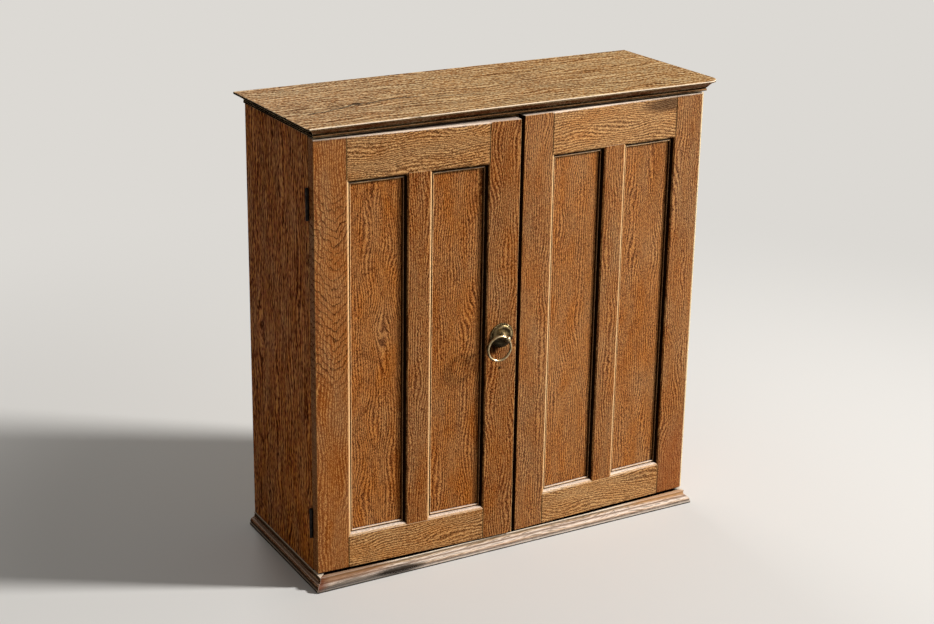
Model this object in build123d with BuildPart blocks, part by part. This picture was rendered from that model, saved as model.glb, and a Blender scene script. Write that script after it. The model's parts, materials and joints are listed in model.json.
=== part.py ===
"""Two-door oak cupboard: a boarded carcase on a moulded plinth, with a pair of moulded frame-and-panel doors.

Millimetres, +Z up, +X to the cupboard's right as its doors are faced, +Y towards its back. The origin is on
the floor, under the centre of the whole cupboard. The doors rest a little ajar, as they settle when unlatched.
"""

from build123d import *
from dataclasses import dataclass
from math import cos, radians, sin
import os

os.makedirs("parts", exist_ok=True)

# ---------------------------------------------------------------- driving dimensions
overcut = 1.0  # how far the shapes that cut run past the wood

# Carcase
height = 762.0
carcase_width = 708.0
depth = 259.0  # closed door face to the back of the carcase
side_thickness = 18.0
bottom_thickness = 18.0
housing_depth = 6.0  # how far the bottom board and top rails are let into the sides
top_rail_thickness = 20.0
top_rail_depth = 52.0
back_thickness = 10.0
back_rebate_width = 9.0
back_board_count = 6
back_joint_gap = 0.4
tongue_length = 5.0
tongue_thickness = 3.4
tongue_play = 0.2
back_bevel = 1.6

# Top board
top_thickness = 19.5
top_side_overhang = 19.5
top_front_overhang = 21.5  # past the closed door face
top_arris = 3.6
top_soffit = 2.0
top_moulding_run = 17.6
top_moulding_drop = 11.0
top_quirk = 1.4
top_fillet_step = 0.8
top_moulding_sweep = ((0.74, 0), (0.8, 2.0))  # its handles: share of the run, and drop or rise
top_left_corner_round = 5.0
top_right_corner_round = 24.0  # knocked and worn away

# Plinth
plinth_height = 22.0
plinth_side_projection = 10.1
plinth_front_projection = 17.9  # past the closed door face
plinth_side_bearing = 36.0  # how far the side strips reach in under the carcase
plinth_front_bearing = 40.0
plinth_back_width = 45.0
plinth_foot = 4.0
plinth_quirk_depth = 1.5
plinth_quirk_height = 0.9
plinth_ovolo_inset = 0.8
plinth_ovolo_run = 5.6
plinth_ovolo_rise = 7.5
plinth_ovolo_step = 0.6
plinth_riser = 1.0
plinth_cove_run = 2.5
plinth_top_fillet = 2.0
plinth_fillet_step = 0.8
corner_block_leg = 32.0
corner_block_lift = 3.0

# Shelves
shelf_count = 2
shelf_thickness = 16.0
shelf_setback = 14.0
shelf_side_play = 0.8
bearer_height = 20.0
bearer_width = 12.0
bearer_setback = 16.0
bearer_nose = 10.0

# Doors
door_thickness = 20.0
meeting_gap = 6.5
door_top_gap = 3.0
door_bottom_gap = 3.4
seam = 0.6  # closed door's back to the carcase's front edges
left_ajar = 2.4  # degrees
right_ajar = 1.9
left_top_fall = 3.5  # its top edge was planed down towards the free end
right_top_fall = 0.0
stile_width = 54.0
top_rail_width = 68.5
bottom_rail_width = 54.5
muntin_width = 36.5
panel_recess = 8.0
panel_thickness = 6.0
panel_play = 1.2
groove_play = 0.2
moulding_step = 0.8
moulding_ovolo = 4.6
moulding_quirk = 1.0
moulding_quirk_depth = 1.2
moulding_bead = 1.45
tenon_length = 36.0
tenon_end_shoulder = 12.0
tenon_shoulder = 3.0
tenon_play = 0.2
mortise_end_play = 0.8
muntin_tenon_length = 14.0
muntin_tenon_shoulder = 4.0

# Hinges
upper_hinge_drop = 104.0  # door top to hinge middle
lower_hinge_rise = 81.0  # door bottom to hinge middle
leaf_length = 50.0
leaf_reach = 14.0
leaf_thickness = 1.5
leaf_end_play = 0.2
knuckle_count = 5
knuckle_radius = 2.5
knuckle_gap = 0.2
knuckle_clearance = 0.3
pin_radius = 1.2
pin_fit = 0.02
pin_running_fit = 0.05
pin_head_radius = 2.0
pin_head_height = 0.8
leaf_hole_pitch = 17.0
leaf_hole_radius = 1.65
leaf_sink_radius = 3.1
leaf_sink_angle = 90

# Ring pull
pull_from_free_edge = 27.0
pull_reach = 20.0  # door face to the centre of the knob
rose_radius = 20.5
rose_plate = 1.2
rose_flat = 2.2
rose_roll = 3.0
rose_roll_sweep = 115.0  # degrees from the rim's flat, over the roll and down into the dish
rose_dish_slope = (-1, 0.6)  # direction in which the dish meets the collar
rose_dish_radius = 8.5
rose_dish_height = 2.2
rose_dish_rise = 0.4
rose_collar_radius = 5.6
rose_collar_height = 6.2
rose_collar_chamfer = 1.0
spindle_radius = 3.0
spindle_fit = 0.1
spindle_tip_chamfer = 0.5
spindle_bead_radius = 4.4
spindle_bead_height = 2.5
spindle_bead_slope = 0.4
spindle_bead_shoulder = 0.8
spindle_neck_radius = 2.4
knob_radius = 5.4
knob_hole_play = 0.5
ring_radius = 20.4
ring_wire = 2.0
ring_lean = 45.0  # degrees that the spindle, and the ring with it, has turned from upright
washer_radius = 8.0
washer_thickness = 1.2
nut_width = 10.0
nut_thickness = 4.0
spindle_tail = 2.0
old_pin_hole_radius = 1.2
old_pin_hole_depth = 6.0
old_pin_hole_drop = 56.0
old_pin_hole_offset = 2.5

# ---------------------------------------------------------------- places worked out from them
half_width = carcase_width / 2
door_width = (carcase_width - meeting_gap) / 2
pin_outset = knuckle_radius + knuckle_clearance
pull_along = door_width - pull_from_free_edge
pull_front = pull_reach + knob_radius
front_reach = (pull_along + pin_outset) * sin(radians(left_ajar)) + pull_front
face_y = (front_reach - depth) / 2
back_y = face_y + depth
front_y = face_y + door_thickness + seam
pin_y = front_y - seam / 2
back_front_y = back_y - back_thickness

top_under = height - top_thickness
rail_under = top_under - top_rail_thickness
door_top = top_under - door_top_gap
door_bottom = plinth_height + door_bottom_gap
door_height = door_top - door_bottom
bottom_top = plinth_height + bottom_thickness
inner_half = half_width - side_thickness
bay_height = (rail_under - bottom_top - shelf_count * shelf_thickness) / (shelf_count + 1)
shelf_unders = [bottom_top + bay_height + i * (bay_height + shelf_thickness) for i in range(shelf_count)]

moulding_width = moulding_ovolo + moulding_quirk + 2 * moulding_bead
opening_width = (door_width - 2 * stile_width - muntin_width) / 2
opening_low = door_bottom + bottom_rail_width
opening_high = door_top - top_rail_width
outer_opening = (stile_width, stile_width + opening_width)
inner_opening = (outer_opening[1] + muntin_width, door_width - stile_width)
groove = (panel_recess, panel_recess + panel_thickness + groove_play)
tongue_depths = (groove[0] + groove_play / 2, groove[1] - groove_play / 2)

hinge_heights = {"upper": door_top - upper_hinge_drop, "lower": door_bottom + lower_hinge_rise}
pull_height = door_bottom + door_height / 2
plinth_side_width = plinth_side_projection + plinth_side_bearing
plinth_front_y = face_y - plinth_front_projection
plinth_half = half_width + plinth_side_projection


@dataclass
class Door:
    """A door's own frame: along its width from the hinge edge, into its thickness, and up."""

    name: str
    way: int  # +1 when the door reaches towards +X from its hinges, -1 when towards -X
    ajar: float
    top_fall: float

    @property
    def turned(self):
        """Plan plane at the hinge pins, turned with the door."""
        angle = radians(self.ajar)
        return Plane(
            origin=(-self.way * (half_width + pin_outset), pin_y, 0),
            x_dir=(cos(angle), -self.way * sin(angle), 0),
            z_dir=(0, 0, 1),
        )

    @property
    def fixed(self):
        """Plan plane at the hinge pins, square with the carcase."""
        return Plane(origin=self.turned.origin, x_dir=(1, 0, 0), z_dir=(0, 0, 1))

    @property
    def along(self):
        return self.turned.x_dir * self.way

    @property
    def inward(self):
        return self.turned.y_dir

    def point(self, along, inward, up):
        """A point of the door, measured from the hinge edge of its front face at floor level."""
        local = (self.way * (along + pin_outset), inward - door_thickness - seam / 2, up)
        return self.turned.from_local_coords(local)

    @property
    def elevation(self):
        """Plane of the front face, facing out; across it, X is way times the distance along."""
        return Plane(origin=self.point(0, 0, 0), x_dir=self.turned.x_dir, z_dir=self.inward * -1)


left = Door("left", 1, left_ajar, left_top_fall)
right = Door("right", -1, right_ajar, right_top_fall)


# ---------------------------------------------------------------- shared operations
def save(builder, name):
    """Label a finished sub-part and write it."""
    builder.part.label = name
    export_step(builder.part, f"parts/{name}.step")


def slab(x, y, z, mode=Mode.ADD):
    """Add or cut a square-edged board between low and high coordinates."""
    with BuildSketch(Plane.XY.offset(z[0])) as outline:
        with Locations(((x[0] + x[1]) / 2, (y[0] + y[1]) / 2)):
            Rectangle(x[1] - x[0], y[1] - y[0])
    extrude(outline.sketch, amount=z[1] - z[0], mode=mode)


def door_slab(door, along, inward, up, mode=Mode.ADD):
    """The same in a door's own frame."""
    with BuildSketch(door.elevation.offset(-inward[0])) as outline:
        with Locations((door.way * (along[0] + along[1]) / 2, (up[0] + up[1]) / 2)):
            Rectangle(along[1] - along[0], up[1] - up[0])
    extrude(outline.sketch, amount=inward[0] - inward[1], mode=mode)


def run_profile(profile, middle, across, rise, reach):
    """Cut the waste drawn by profile, along a straight edge whose middle point is given."""
    plane = Plane(origin=middle, x_dir=across, z_dir=Vector(across).cross(Vector(rise)))
    with BuildSketch(plane) as waste:
        with BuildLine():
            profile()
        make_face()
    extrude(waste.sketch, amount=reach, both=True, mode=Mode.SUBTRACT)


# ---------------------------------------------------------------- profiles of the waste that mouldings leave
def top_edge_waste():
    """Under a thin arris, an S-shaped moulding running in to a small square fillet; Y is down."""
    start = (top_soffit, top_arris)
    end = (top_moulding_run, top_arris + top_moulding_drop)
    fillet_top = end[1] + top_quirk
    fillet_face = top_moulding_run - top_fillet_step
    Line((-overcut, top_arris), start)
    (first_share, drop), (second_share, rise) = top_moulding_sweep
    Bezier(start, (first_share * end[0], start[1] + drop), (second_share * end[0], end[1] - rise), end)
    Polyline(
        end,
        (end[0], fillet_top),
        (fillet_face, fillet_top),
        (fillet_face, top_thickness + overcut),
        (-overcut, top_thickness + overcut),
        (-overcut, top_arris),
    )


def plinth_edge_waste():
    """Foot, quirk, ovolo, riser, cove and top fillet; Y is up from the floor."""
    ovolo_low = plinth_foot + plinth_quirk_height
    ovolo_centre = (plinth_ovolo_inset + plinth_ovolo_run, ovolo_low)
    riser_x = ovolo_centre[0] + plinth_ovolo_step
    riser_top = ovolo_low + plinth_ovolo_rise + plinth_riser
    cove_top = plinth_height - plinth_top_fillet
    fillet_x = riser_x + plinth_cove_run - plinth_fillet_step
    Polyline(
        (-overcut, plinth_foot),
        (plinth_quirk_depth, plinth_foot),
        (plinth_quirk_depth, ovolo_low),
        (plinth_ovolo_inset, ovolo_low),
    )
    EllipticalCenterArc(ovolo_centre, plinth_ovolo_run, plinth_ovolo_rise, start_angle=90, arc_size=90)
    Polyline(
        (ovolo_centre[0], ovolo_low + plinth_ovolo_rise),
        (riser_x, ovolo_low + plinth_ovolo_rise),
        (riser_x, riser_top),
    )
    EllipticalCenterArc(
        (riser_x, cove_top), plinth_cove_run, cove_top - riser_top, start_angle=270, arc_size=90
    )
    Polyline(
        (riser_x + plinth_cove_run, cove_top),
        (fillet_x, cove_top),
        (fillet_x, plinth_height + overcut),
        (-overcut, plinth_height + overcut),
        (-overcut, plinth_foot),
    )


def door_moulding_waste():
    """Step, ovolo, quirk and bead beside a panel; X runs into the opening and Y into the door."""
    ovolo_end = moulding_step + moulding_ovolo
    quirk_bottom = ovolo_end + moulding_quirk_depth
    bead_start = moulding_ovolo + moulding_quirk
    Line((0, -overcut), (0, moulding_step))
    CenterArc((0, ovolo_end), moulding_ovolo, -90, 90)
    Polyline((moulding_ovolo, ovolo_end), (moulding_ovolo, quirk_bottom), (bead_start, quirk_bottom))
    CenterArc((bead_start + moulding_bead, quirk_bottom), moulding_bead, 180, 180)
    Polyline(
        (moulding_width, quirk_bottom),
        (moulding_width + overcut, quirk_bottom),
        (moulding_width + overcut, -overcut),
        (0, -overcut),
    )


def groove_waste():
    """The groove that holds a panel's edge, behind the moulding."""
    lip = moulding_width + overcut
    Polyline((0, groove[0]), (lip, groove[0]), (lip, groove[1]), (0, groove[1]), (0, groove[0]))


# ---------------------------------------------------------------- carcase
def leaf_hole_places(door, plane, back, middle):
    """Where a hinge leaf is bored for screws; back is +1 for the carcase leaf and -1 for the door's."""
    for step in (-1, 0, 1):
        local = (door.way * (pin_outset + leaf_reach / 2), back * seam / 2, middle + step * leaf_hole_pitch)
        yield Plane(origin=plane.from_local_coords(local), x_dir=(0, 0, 1), z_dir=plane.y_dir * -back)


def make_top_board():
    edge_y = face_y - top_front_overhang
    half = half_width + top_side_overhang
    with BuildPart() as board:
        slab((-half, half), (edge_y, back_y), (top_under, height))
        for way, corner_round in ((-1, top_left_corner_round), (1, top_right_corner_round)):
            uprights = board.edges().filter_by(Axis.Z)
            fillet(uprights.sort_by_distance((way * half, edge_y, height))[0], corner_round)
        run_profile(top_edge_waste, (0, edge_y, height), (0, 1, 0), (0, 0, -1), half + overcut)
        for way in (-1, 1):
            run_profile(top_edge_waste, (way * half, 0, height), (-way, 0, 0), (0, 0, -1), depth)
    save(board, "top_board")


def make_side(door):
    """One solid side, rebated for the back and housed for the bottom board and top rails."""
    outer, inner = -door.way * half_width, -door.way * inner_half
    span = sorted((outer, inner))
    housing = sorted((inner, inner - door.way * housing_depth))
    rebate = sorted((inner, outer + door.way * back_rebate_width))
    leaf = sorted((outer, outer + door.way * leaf_reach))
    with BuildPart() as side:
        slab(span, (front_y, back_y), (plinth_height, top_under))
        slab(rebate, (back_front_y, back_y), (plinth_height, top_under), Mode.SUBTRACT)
        slab(housing, (front_y, back_front_y), (plinth_height, bottom_top), Mode.SUBTRACT)
        slab(housing, (front_y, front_y + top_rail_depth), (rail_under, top_under), Mode.SUBTRACT)
        slab(housing, (back_front_y - top_rail_depth, back_front_y), (rail_under, top_under), Mode.SUBTRACT)
        for middle in hinge_heights.values():
            pocket = (middle - leaf_length / 2 - leaf_end_play, middle + leaf_length / 2 + leaf_end_play)
            slab(leaf, (front_y, front_y + leaf_thickness), pocket, Mode.SUBTRACT)
    save(side, f"{door.name}_side")


def make_crosspieces():
    """The bottom board and the two rails that tie the sides together under the top."""
    span = (-inner_half - housing_depth, inner_half + housing_depth)
    with BuildPart() as bottom:
        slab(span, (front_y, back_front_y), (plinth_height, bottom_top))
    save(bottom, "bottom_board")
    rails = {
        "front_top_rail": (front_y, front_y + top_rail_depth),
        "back_top_rail": (back_front_y - top_rail_depth, back_front_y),
    }
    for name, across in rails.items():
        with BuildPart() as rail:
            slab(span, across, (rail_under, top_under))
        save(rail, name)


def make_back():
    """Upright tongued-and-grooved boards with bevelled joints, in the sides' rebates."""
    low = -half_width + back_rebate_width + back_joint_gap
    pitch = -2 * low / back_board_count
    middle_y = (back_front_y + back_y) / 2
    for index in range(back_board_count):
        start = low + index * pitch
        end = start + pitch - back_joint_gap
        with BuildPart() as board:
            with BuildSketch(Plane.XY.offset(plinth_height)) as plan:
                with Locations(((start + end) / 2, middle_y)):
                    Rectangle(end - start, back_thickness)
                chamfer(plan.vertices(), back_bevel)
                if index < back_board_count - 1:
                    with Locations((end, middle_y)):
                        Rectangle(tongue_length, tongue_thickness, align=(Align.MIN, Align.CENTER))
                if index > 0:
                    slot = (tongue_length + tongue_play, tongue_thickness + 2 * tongue_play)
                    with Locations((start, middle_y)):
                        Rectangle(*slot, align=(Align.MIN, Align.CENTER), mode=Mode.SUBTRACT)
            extrude(amount=top_under - plinth_height)
        save(board, f"back_board_{index + 1}")


def make_shelves():
    """Loose shelves, each on a pair of bearers fixed to the sides."""
    half = inner_half - shelf_side_play
    bearer_y = (front_y + bearer_setback, back_front_y)
    for level, under in zip(("lower", "upper"), shelf_unders):
        with BuildPart() as shelf:
            slab((-half, half), (front_y + shelf_setback, back_front_y), (under, under + shelf_thickness))
        save(shelf, f"{level}_shelf")
        for door in (left, right):
            across = sorted((-door.way * inner_half, -door.way * (inner_half - bearer_width)))
            with BuildPart() as bearer:
                slab(across, bearer_y, (under - bearer_height, under))
                nose = bearer.edges().filter_by(Axis.X).group_by(Axis.Y)[0].sort_by(Axis.Z)[0]
                chamfer(nose, bearer_nose)
            save(bearer, f"{level}_{door.name}_bearer")


# ---------------------------------------------------------------- plinth
def make_plinth():
    """A low moulded base frame, mitred at the front corners, with the carcase standing on it."""
    inner = plinth_half - plinth_side_width
    front_back_y = front_y + plinth_front_bearing
    back_rail_y = back_y - plinth_back_width
    mitre_y = plinth_front_y + plinth_side_width
    with BuildPart() as front:
        with BuildSketch():
            Polygon(
                (-plinth_half, plinth_front_y), (plinth_half, plinth_front_y), (inner, mitre_y),
                (inner, front_back_y), (-inner, front_back_y), (-inner, mitre_y),
                align=None,
            )
        extrude(amount=plinth_height)
        run_profile(plinth_edge_waste, (0, plinth_front_y, 0), (0, 1, 0), (0, 0, 1), plinth_half + overcut)
    save(front, "plinth_front")
    for door in (left, right):
        edge = -door.way * plinth_half
        inside = -door.way * inner
        with BuildPart() as strip:
            with BuildSketch():
                Polygon(
                    (edge, plinth_front_y), (inside, mitre_y), (inside, back_y), (edge, back_y), align=None
                )
            extrude(amount=plinth_height)
            run_profile(plinth_edge_waste, (edge, 0, 0), (door.way, 0, 0), (0, 0, 1), depth)
        save(strip, f"plinth_{door.name}")
    with BuildPart() as back:
        slab((-inner, inner), (back_rail_y, back_y), (0, plinth_height))
    save(back, "plinth_back")
    with BuildPart() as blocks:
        with BuildSketch(Plane.XY.offset(corner_block_lift)):
            for way in (-1, 1):
                for corner_y, turn in ((front_back_y, 1), (back_rail_y, -1)):
                    Polygon(
                        (way * inner, corner_y),
                        (way * (inner - corner_block_leg), corner_y),
                        (way * inner, corner_y + turn * corner_block_leg),
                        align=None,
                    )
        extrude(amount=plinth_height - corner_block_lift)
    save(blocks, "plinth_corner_blocks")


# ---------------------------------------------------------------- doors
def run_moulding(door, at, grow, reach):
    """Mould and groove one edge of a member: at is the arris's middle point, grow points into the opening."""
    run_profile(door_moulding_waste, at, grow, door.inward, reach)
    run_profile(groove_waste, at, grow, door.inward, reach)


def member(door, points):
    """A full-thickness blank with the outline given by (along, up) points."""
    with BuildSketch(door.elevation) as outline:
        Polygon(*[(door.way * along, up) for along, up in points], align=None)
    extrude(outline.sketch, amount=-door_thickness)


def plane_top(door):
    """Take a door's top edge down towards its free end."""
    if door.top_fall:
        with BuildSketch(door.elevation.offset(overcut)) as waste:
            corners = (
                (0, door_top), (door_width, door_top - door.top_fall),
                (door_width, door_top + overcut), (0, door_top + overcut),
            )
            Polygon(*[(door.way * along, up) for along, up in corners], align=None)
        extrude(waste.sketch, amount=-door_thickness - 2 * overcut, mode=Mode.SUBTRACT)


def rail_tenon(rail):
    """Heights of a rail's tenon, kept clear of the door's end and of the moulded edge."""
    if rail == "top":
        return opening_high + tenon_shoulder, door_top - tenon_end_shoulder
    return door_bottom + tenon_end_shoulder, opening_low - tenon_shoulder


def make_stile(door, place):
    """A stile runs the door's full height, moulded between the rails and mortised for their tenons."""
    hinged = place == "hinge"
    edge = stile_width if hinged else door_width - stile_width
    back_edge = 0 if hinged else door_width
    toward = 1 if hinged else -1
    lip = edge + toward * moulding_width
    with BuildPart() as stile:
        member(door, [
            (back_edge, door_bottom), (edge, door_bottom), (edge, opening_low),
            (lip, opening_low + moulding_width), (lip, opening_high - moulding_width),
            (edge, opening_high), (edge, door_top), (back_edge, door_top),
        ])
        run_moulding(door, door.point(edge, 0, pull_height), door.along * toward, door_height)
        mortise = sorted((edge, edge - toward * (tenon_length + mortise_end_play)))
        for rail in ("top", "bottom"):
            low, high = rail_tenon(rail)
            door_slab(door, mortise, groove, (low - tenon_play, high + tenon_play), Mode.SUBTRACT)
        if hinged:
            for middle in hinge_heights.values():
                pocket = (middle - leaf_length / 2 - leaf_end_play, middle + leaf_length / 2 + leaf_end_play)
                seat = (door_thickness - leaf_thickness, door_thickness)
                door_slab(door, (0, leaf_reach), seat, pocket, Mode.SUBTRACT)
        elif door is left:
            bore_for_pull(door)
        plane_top(door)
    save(stile, f"{door.name}_{place}_stile")


def bore_for_pull(door):
    """The spindle's hole, and a small blind hole below it where an older fitting was pinned."""
    old_place = door.point(pull_along - old_pin_hole_offset, 0, pull_height - old_pin_hole_drop)
    with Locations(door.elevation.location * Location((door.way * pull_along, pull_height, 0))):
        Cylinder(spindle_radius + spindle_fit, 3 * door_thickness, mode=Mode.SUBTRACT)
    with Locations(Plane(origin=old_place, x_dir=door.along, z_dir=door.inward * -1)):
        Cylinder(
            old_pin_hole_radius,
            old_pin_hole_depth,
            align=(Align.CENTER, Align.CENTER, Align.MAX),
            mode=Mode.SUBTRACT,
        )


def make_rail(door, place):
    """A rail fits between the stiles with a shouldered tenon at each end and a mortise for the muntin."""
    top = place == "top"
    edge, outside, toward = (opening_high, door_top, -1) if top else (opening_low, door_bottom, 1)
    lip = edge + toward * moulding_width
    shoulders = (stile_width, door_width - stile_width)
    with BuildPart() as rail:
        member(door, [
            (shoulders[0], outside), (shoulders[0], edge), (outer_opening[0] + moulding_width, lip),
            (outer_opening[1] - moulding_width, lip), (outer_opening[1], edge), (inner_opening[0], edge),
            (inner_opening[0] + moulding_width, lip), (inner_opening[1] - moulding_width, lip),
            (shoulders[1], edge), (shoulders[1], outside),
        ])
        run_moulding(door, door.point(door_width / 2, 0, edge), (0, 0, toward), door_width)
        for shoulder, outward in zip(shoulders, (-1, 1)):
            door_slab(door, sorted((shoulder, shoulder + outward * tenon_length)), tongue_depths, rail_tenon(place))
        slot = (
            outer_opening[1] + muntin_tenon_shoulder - tenon_play,
            inner_opening[0] - muntin_tenon_shoulder + tenon_play,
        )
        reach = sorted((edge, edge - toward * (muntin_tenon_length + mortise_end_play)))
        door_slab(door, slot, groove, reach, Mode.SUBTRACT)
        if top:
            plane_top(door)
    save(rail, f"{door.name}_{place}_rail")


def make_muntin(door):
    """The upright between the two panels, moulded on both edges and stub-tenoned into the rails."""
    low, high = opening_low, opening_high
    start, end = outer_opening[1], inner_opening[0]
    with BuildPart() as muntin:
        member(door, [
            (start, low), (start - moulding_width, low + moulding_width),
            (start - moulding_width, high - moulding_width), (start, high), (end, high),
            (end + moulding_width, high - moulding_width), (end + moulding_width, low + moulding_width),
            (end, low),
        ])
        for edge, toward in ((start, -1), (end, 1)):
            run_moulding(door, door.point(edge, 0, pull_height), door.along * toward, door_height)
        across = (start + muntin_tenon_shoulder, end - muntin_tenon_shoulder)
        door_slab(door, across, tongue_depths, (low - muntin_tenon_length, low))
        door_slab(door, across, tongue_depths, (high, high + muntin_tenon_length))
    save(muntin, f"{door.name}_muntin")


def make_panels(door):
    """Flat panels, loose in their grooves so that the wood can move."""
    for place, opening in (("outer", outer_opening), ("inner", inner_opening)):
        with BuildPart() as panel:
            door_slab(
                door,
                (opening[0] + panel_play, opening[1] - panel_play),
                tongue_depths,
                (opening_low + panel_play, opening_high - panel_play),
            )
        save(panel, f"{door.name}_{place}_panel")


# ---------------------------------------------------------------- hinges
def make_hinge(door, level):
    """A butt hinge whose knuckles stand just outside the seam between door and carcase."""
    low = hinge_heights[level] - leaf_length / 2
    pitch = leaf_length / knuckle_count
    bridge = knuckle_radius + knuckle_clearance
    sets = {
        "carcase": (door.fixed, 1, range(0, knuckle_count, 2), pin_fit),
        "door": (door.turned, -1, range(1, knuckle_count, 2), pin_running_fit),
    }
    for owner, (plane, back, turns, fit) in sets.items():
        sheet = (back * seam / 2, back * (seam / 2 + leaf_thickness))
        middle = sum(sheet) / 2
        with BuildPart() as leaf:
            with BuildSketch(plane.offset(low)):
                with Locations((door.way * (bridge + pin_outset + leaf_reach) / 2, middle)):
                    Rectangle(pin_outset + leaf_reach - bridge, leaf_thickness)
            extrude(amount=leaf_length)
            for turn in turns:
                with BuildSketch(plane.offset(low + turn * pitch + knuckle_gap / 2)):
                    Circle(knuckle_radius)
                    with Locations((door.way * bridge / 2, middle)):
                        Rectangle(bridge, leaf_thickness)
                extrude(amount=pitch - knuckle_gap)
            with BuildSketch(plane.offset(low)):
                Circle(pin_radius + fit)
            extrude(amount=leaf_length, mode=Mode.SUBTRACT)
            with Locations(*leaf_hole_places(door, plane, back, hinge_heights[level])):
                CounterSinkHole(leaf_hole_radius, leaf_sink_radius, 2 * leaf_thickness, leaf_sink_angle)
        save(leaf, f"{door.name}_{level}_hinge_{owner}_leaf")
    ends = (low + knuckle_gap / 2, low + leaf_length - knuckle_gap / 2)
    with BuildPart() as pin:
        with BuildSketch(door.fixed.offset(ends[0] - pin_head_height)):
            Circle(pin_head_radius)
        extrude(amount=pin_head_height)
        with BuildSketch(door.fixed.offset(ends[0])):
            Circle(pin_radius)
        extrude(amount=ends[1] - ends[0])
        with BuildSketch(door.fixed.offset(ends[1])):
            Circle(pin_head_radius)
        extrude(amount=pin_head_height)
    save(pin, f"{door.name}_{level}_hinge_pin")


# ---------------------------------------------------------------- ring pull
def pull_axis(door):
    """Plane on the door's face at the pull: Z points out of the door and X along the turned knob's hole."""
    lean = radians(ring_lean)
    hole = door.turned.x_dir * -sin(lean) + Vector(0, 0, 1) * cos(lean)
    return Plane(origin=door.point(pull_along, 0, pull_height), x_dir=hole, z_dir=door.inward * -1)


def make_rose(door):
    """A thin round plate with a rolled rim, a dished middle and a collar round the spindle."""
    roll_centre = rose_radius - rose_flat - rose_roll
    sweep = radians(rose_roll_sweep)
    collar_foot = (rose_collar_radius, rose_dish_height + rose_dish_rise)
    with BuildPart() as rose:
        with BuildSketch(Plane.XZ):
            with BuildLine():
                Polyline((spindle_radius + spindle_fit, 0), (rose_radius, 0), (rose_radius, rose_plate))
                Line((rose_radius, rose_plate), (roll_centre + rose_roll, rose_plate))
                CenterArc((roll_centre, rose_plate), rose_roll, 0, rose_roll_sweep)
                Spline(
                    (roll_centre + rose_roll * cos(sweep), rose_plate + rose_roll * sin(sweep)),
                    (rose_dish_radius, rose_dish_height),
                    collar_foot,
                    tangents=((-sin(sweep), cos(sweep)), rose_dish_slope),
                )
                Polyline(
                    collar_foot,
                    (rose_collar_radius, rose_collar_height - rose_collar_chamfer),
                    (rose_collar_radius - rose_collar_chamfer, rose_collar_height),
                    (spindle_radius + spindle_fit, rose_collar_height),
                    (spindle_radius + spindle_fit, 0),
                )
            make_face()
        revolve(axis=Axis.Z)
    with BuildPart() as placed:
        with Locations(pull_axis(door)):
            add(rose.part)
    save(placed, "pull_rose")


def make_spindle(door):
    """The knob, its neck and the spindle through the stile, turned from one piece and cross-bored."""
    tail = door_thickness + washer_thickness + nut_thickness + spindle_tail
    waist = pull_reach - (knob_radius**2 - spindle_neck_radius**2) ** 0.5
    bead_top = rose_collar_height + spindle_bead_height
    with BuildPart() as spindle:
        with BuildSketch(Plane.XZ):
            with BuildLine():
                Polyline(
                    (0, pull_reach + knob_radius), (0, -tail),
                    (spindle_radius - spindle_tip_chamfer, -tail), (spindle_radius, spindle_tip_chamfer - tail),
                    (spindle_radius, rose_collar_height),
                    (spindle_bead_radius, rose_collar_height + spindle_bead_slope),
                    (spindle_bead_radius, bead_top - spindle_bead_shoulder), (spindle_neck_radius, bead_top),
                    (spindle_neck_radius, waist),
                )
                ThreePointArc(
                    (spindle_neck_radius, waist), (knob_radius, pull_reach), (0, pull_reach + knob_radius)
                )
            make_face()
        revolve(axis=Axis.Z)
        with Locations(Location((0, 0, pull_reach), (0, 90, 0))):
            Cylinder(ring_wire + knob_hole_play, 4 * knob_radius, mode=Mode.SUBTRACT)
    with BuildPart() as placed:
        with Locations(pull_axis(door)):
            add(spindle.part)
    save(placed, "pull_spindle")


def make_nut(door):
    """A washer and a square nut behind the stile, holding the spindle."""
    with BuildPart() as nut:
        with BuildSketch(Plane.XY.offset(-door_thickness)):
            Circle(washer_radius)
            Circle(spindle_radius + spindle_fit, mode=Mode.SUBTRACT)
        extrude(amount=-washer_thickness)
        with BuildSketch(Plane.XY.offset(-door_thickness - washer_thickness)):
            Rectangle(nut_width, nut_width, rotation=ring_lean)
            Circle(spindle_radius + spindle_fit, mode=Mode.SUBTRACT)
        extrude(amount=-nut_thickness)
    with BuildPart() as placed:
        with Locations(pull_axis(door)):
            add(nut.part)
    save(placed, "pull_nut")


def ring_sag():
    """How far the ring's centre line bows across the knob's hole, shared to either side of it."""
    half_hole = knob_radius
    return (ring_radius - (ring_radius**2 - half_hole**2) ** 0.5) / 2


def make_ring(door):
    """A round-wire ring hanging parallel with the door, its top through the knob."""
    with BuildPart() as ring:
        with Locations(Location((0, ring_radius - ring_sag(), pull_reach))):
            Torus(ring_radius, ring_wire)
    with BuildPart() as placed:
        with Locations(pull_axis(door)):
            add(ring.part)
    save(placed, "pull_ring")


# ---------------------------------------------------------------- build
make_top_board()
make_crosspieces()
make_back()
make_shelves()
make_plinth()
for door in (left, right):
    make_side(door)
    for place in ("hinge", "meeting"):
        make_stile(door, place)
    for place in ("top", "bottom"):
        make_rail(door, place)
    make_muntin(door)
    make_panels(door)
    for level in hinge_heights:
        make_hinge(door, level)
make_rose(left)
make_spindle(left)
make_nut(left)
make_ring(left)
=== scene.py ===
"""An old oak cupboard: weathered boards, two panelled doors, blackened butt hinges and a brass ring pull."""

import bpy
import json
import math
from mathutils import Matrix, Vector

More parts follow.
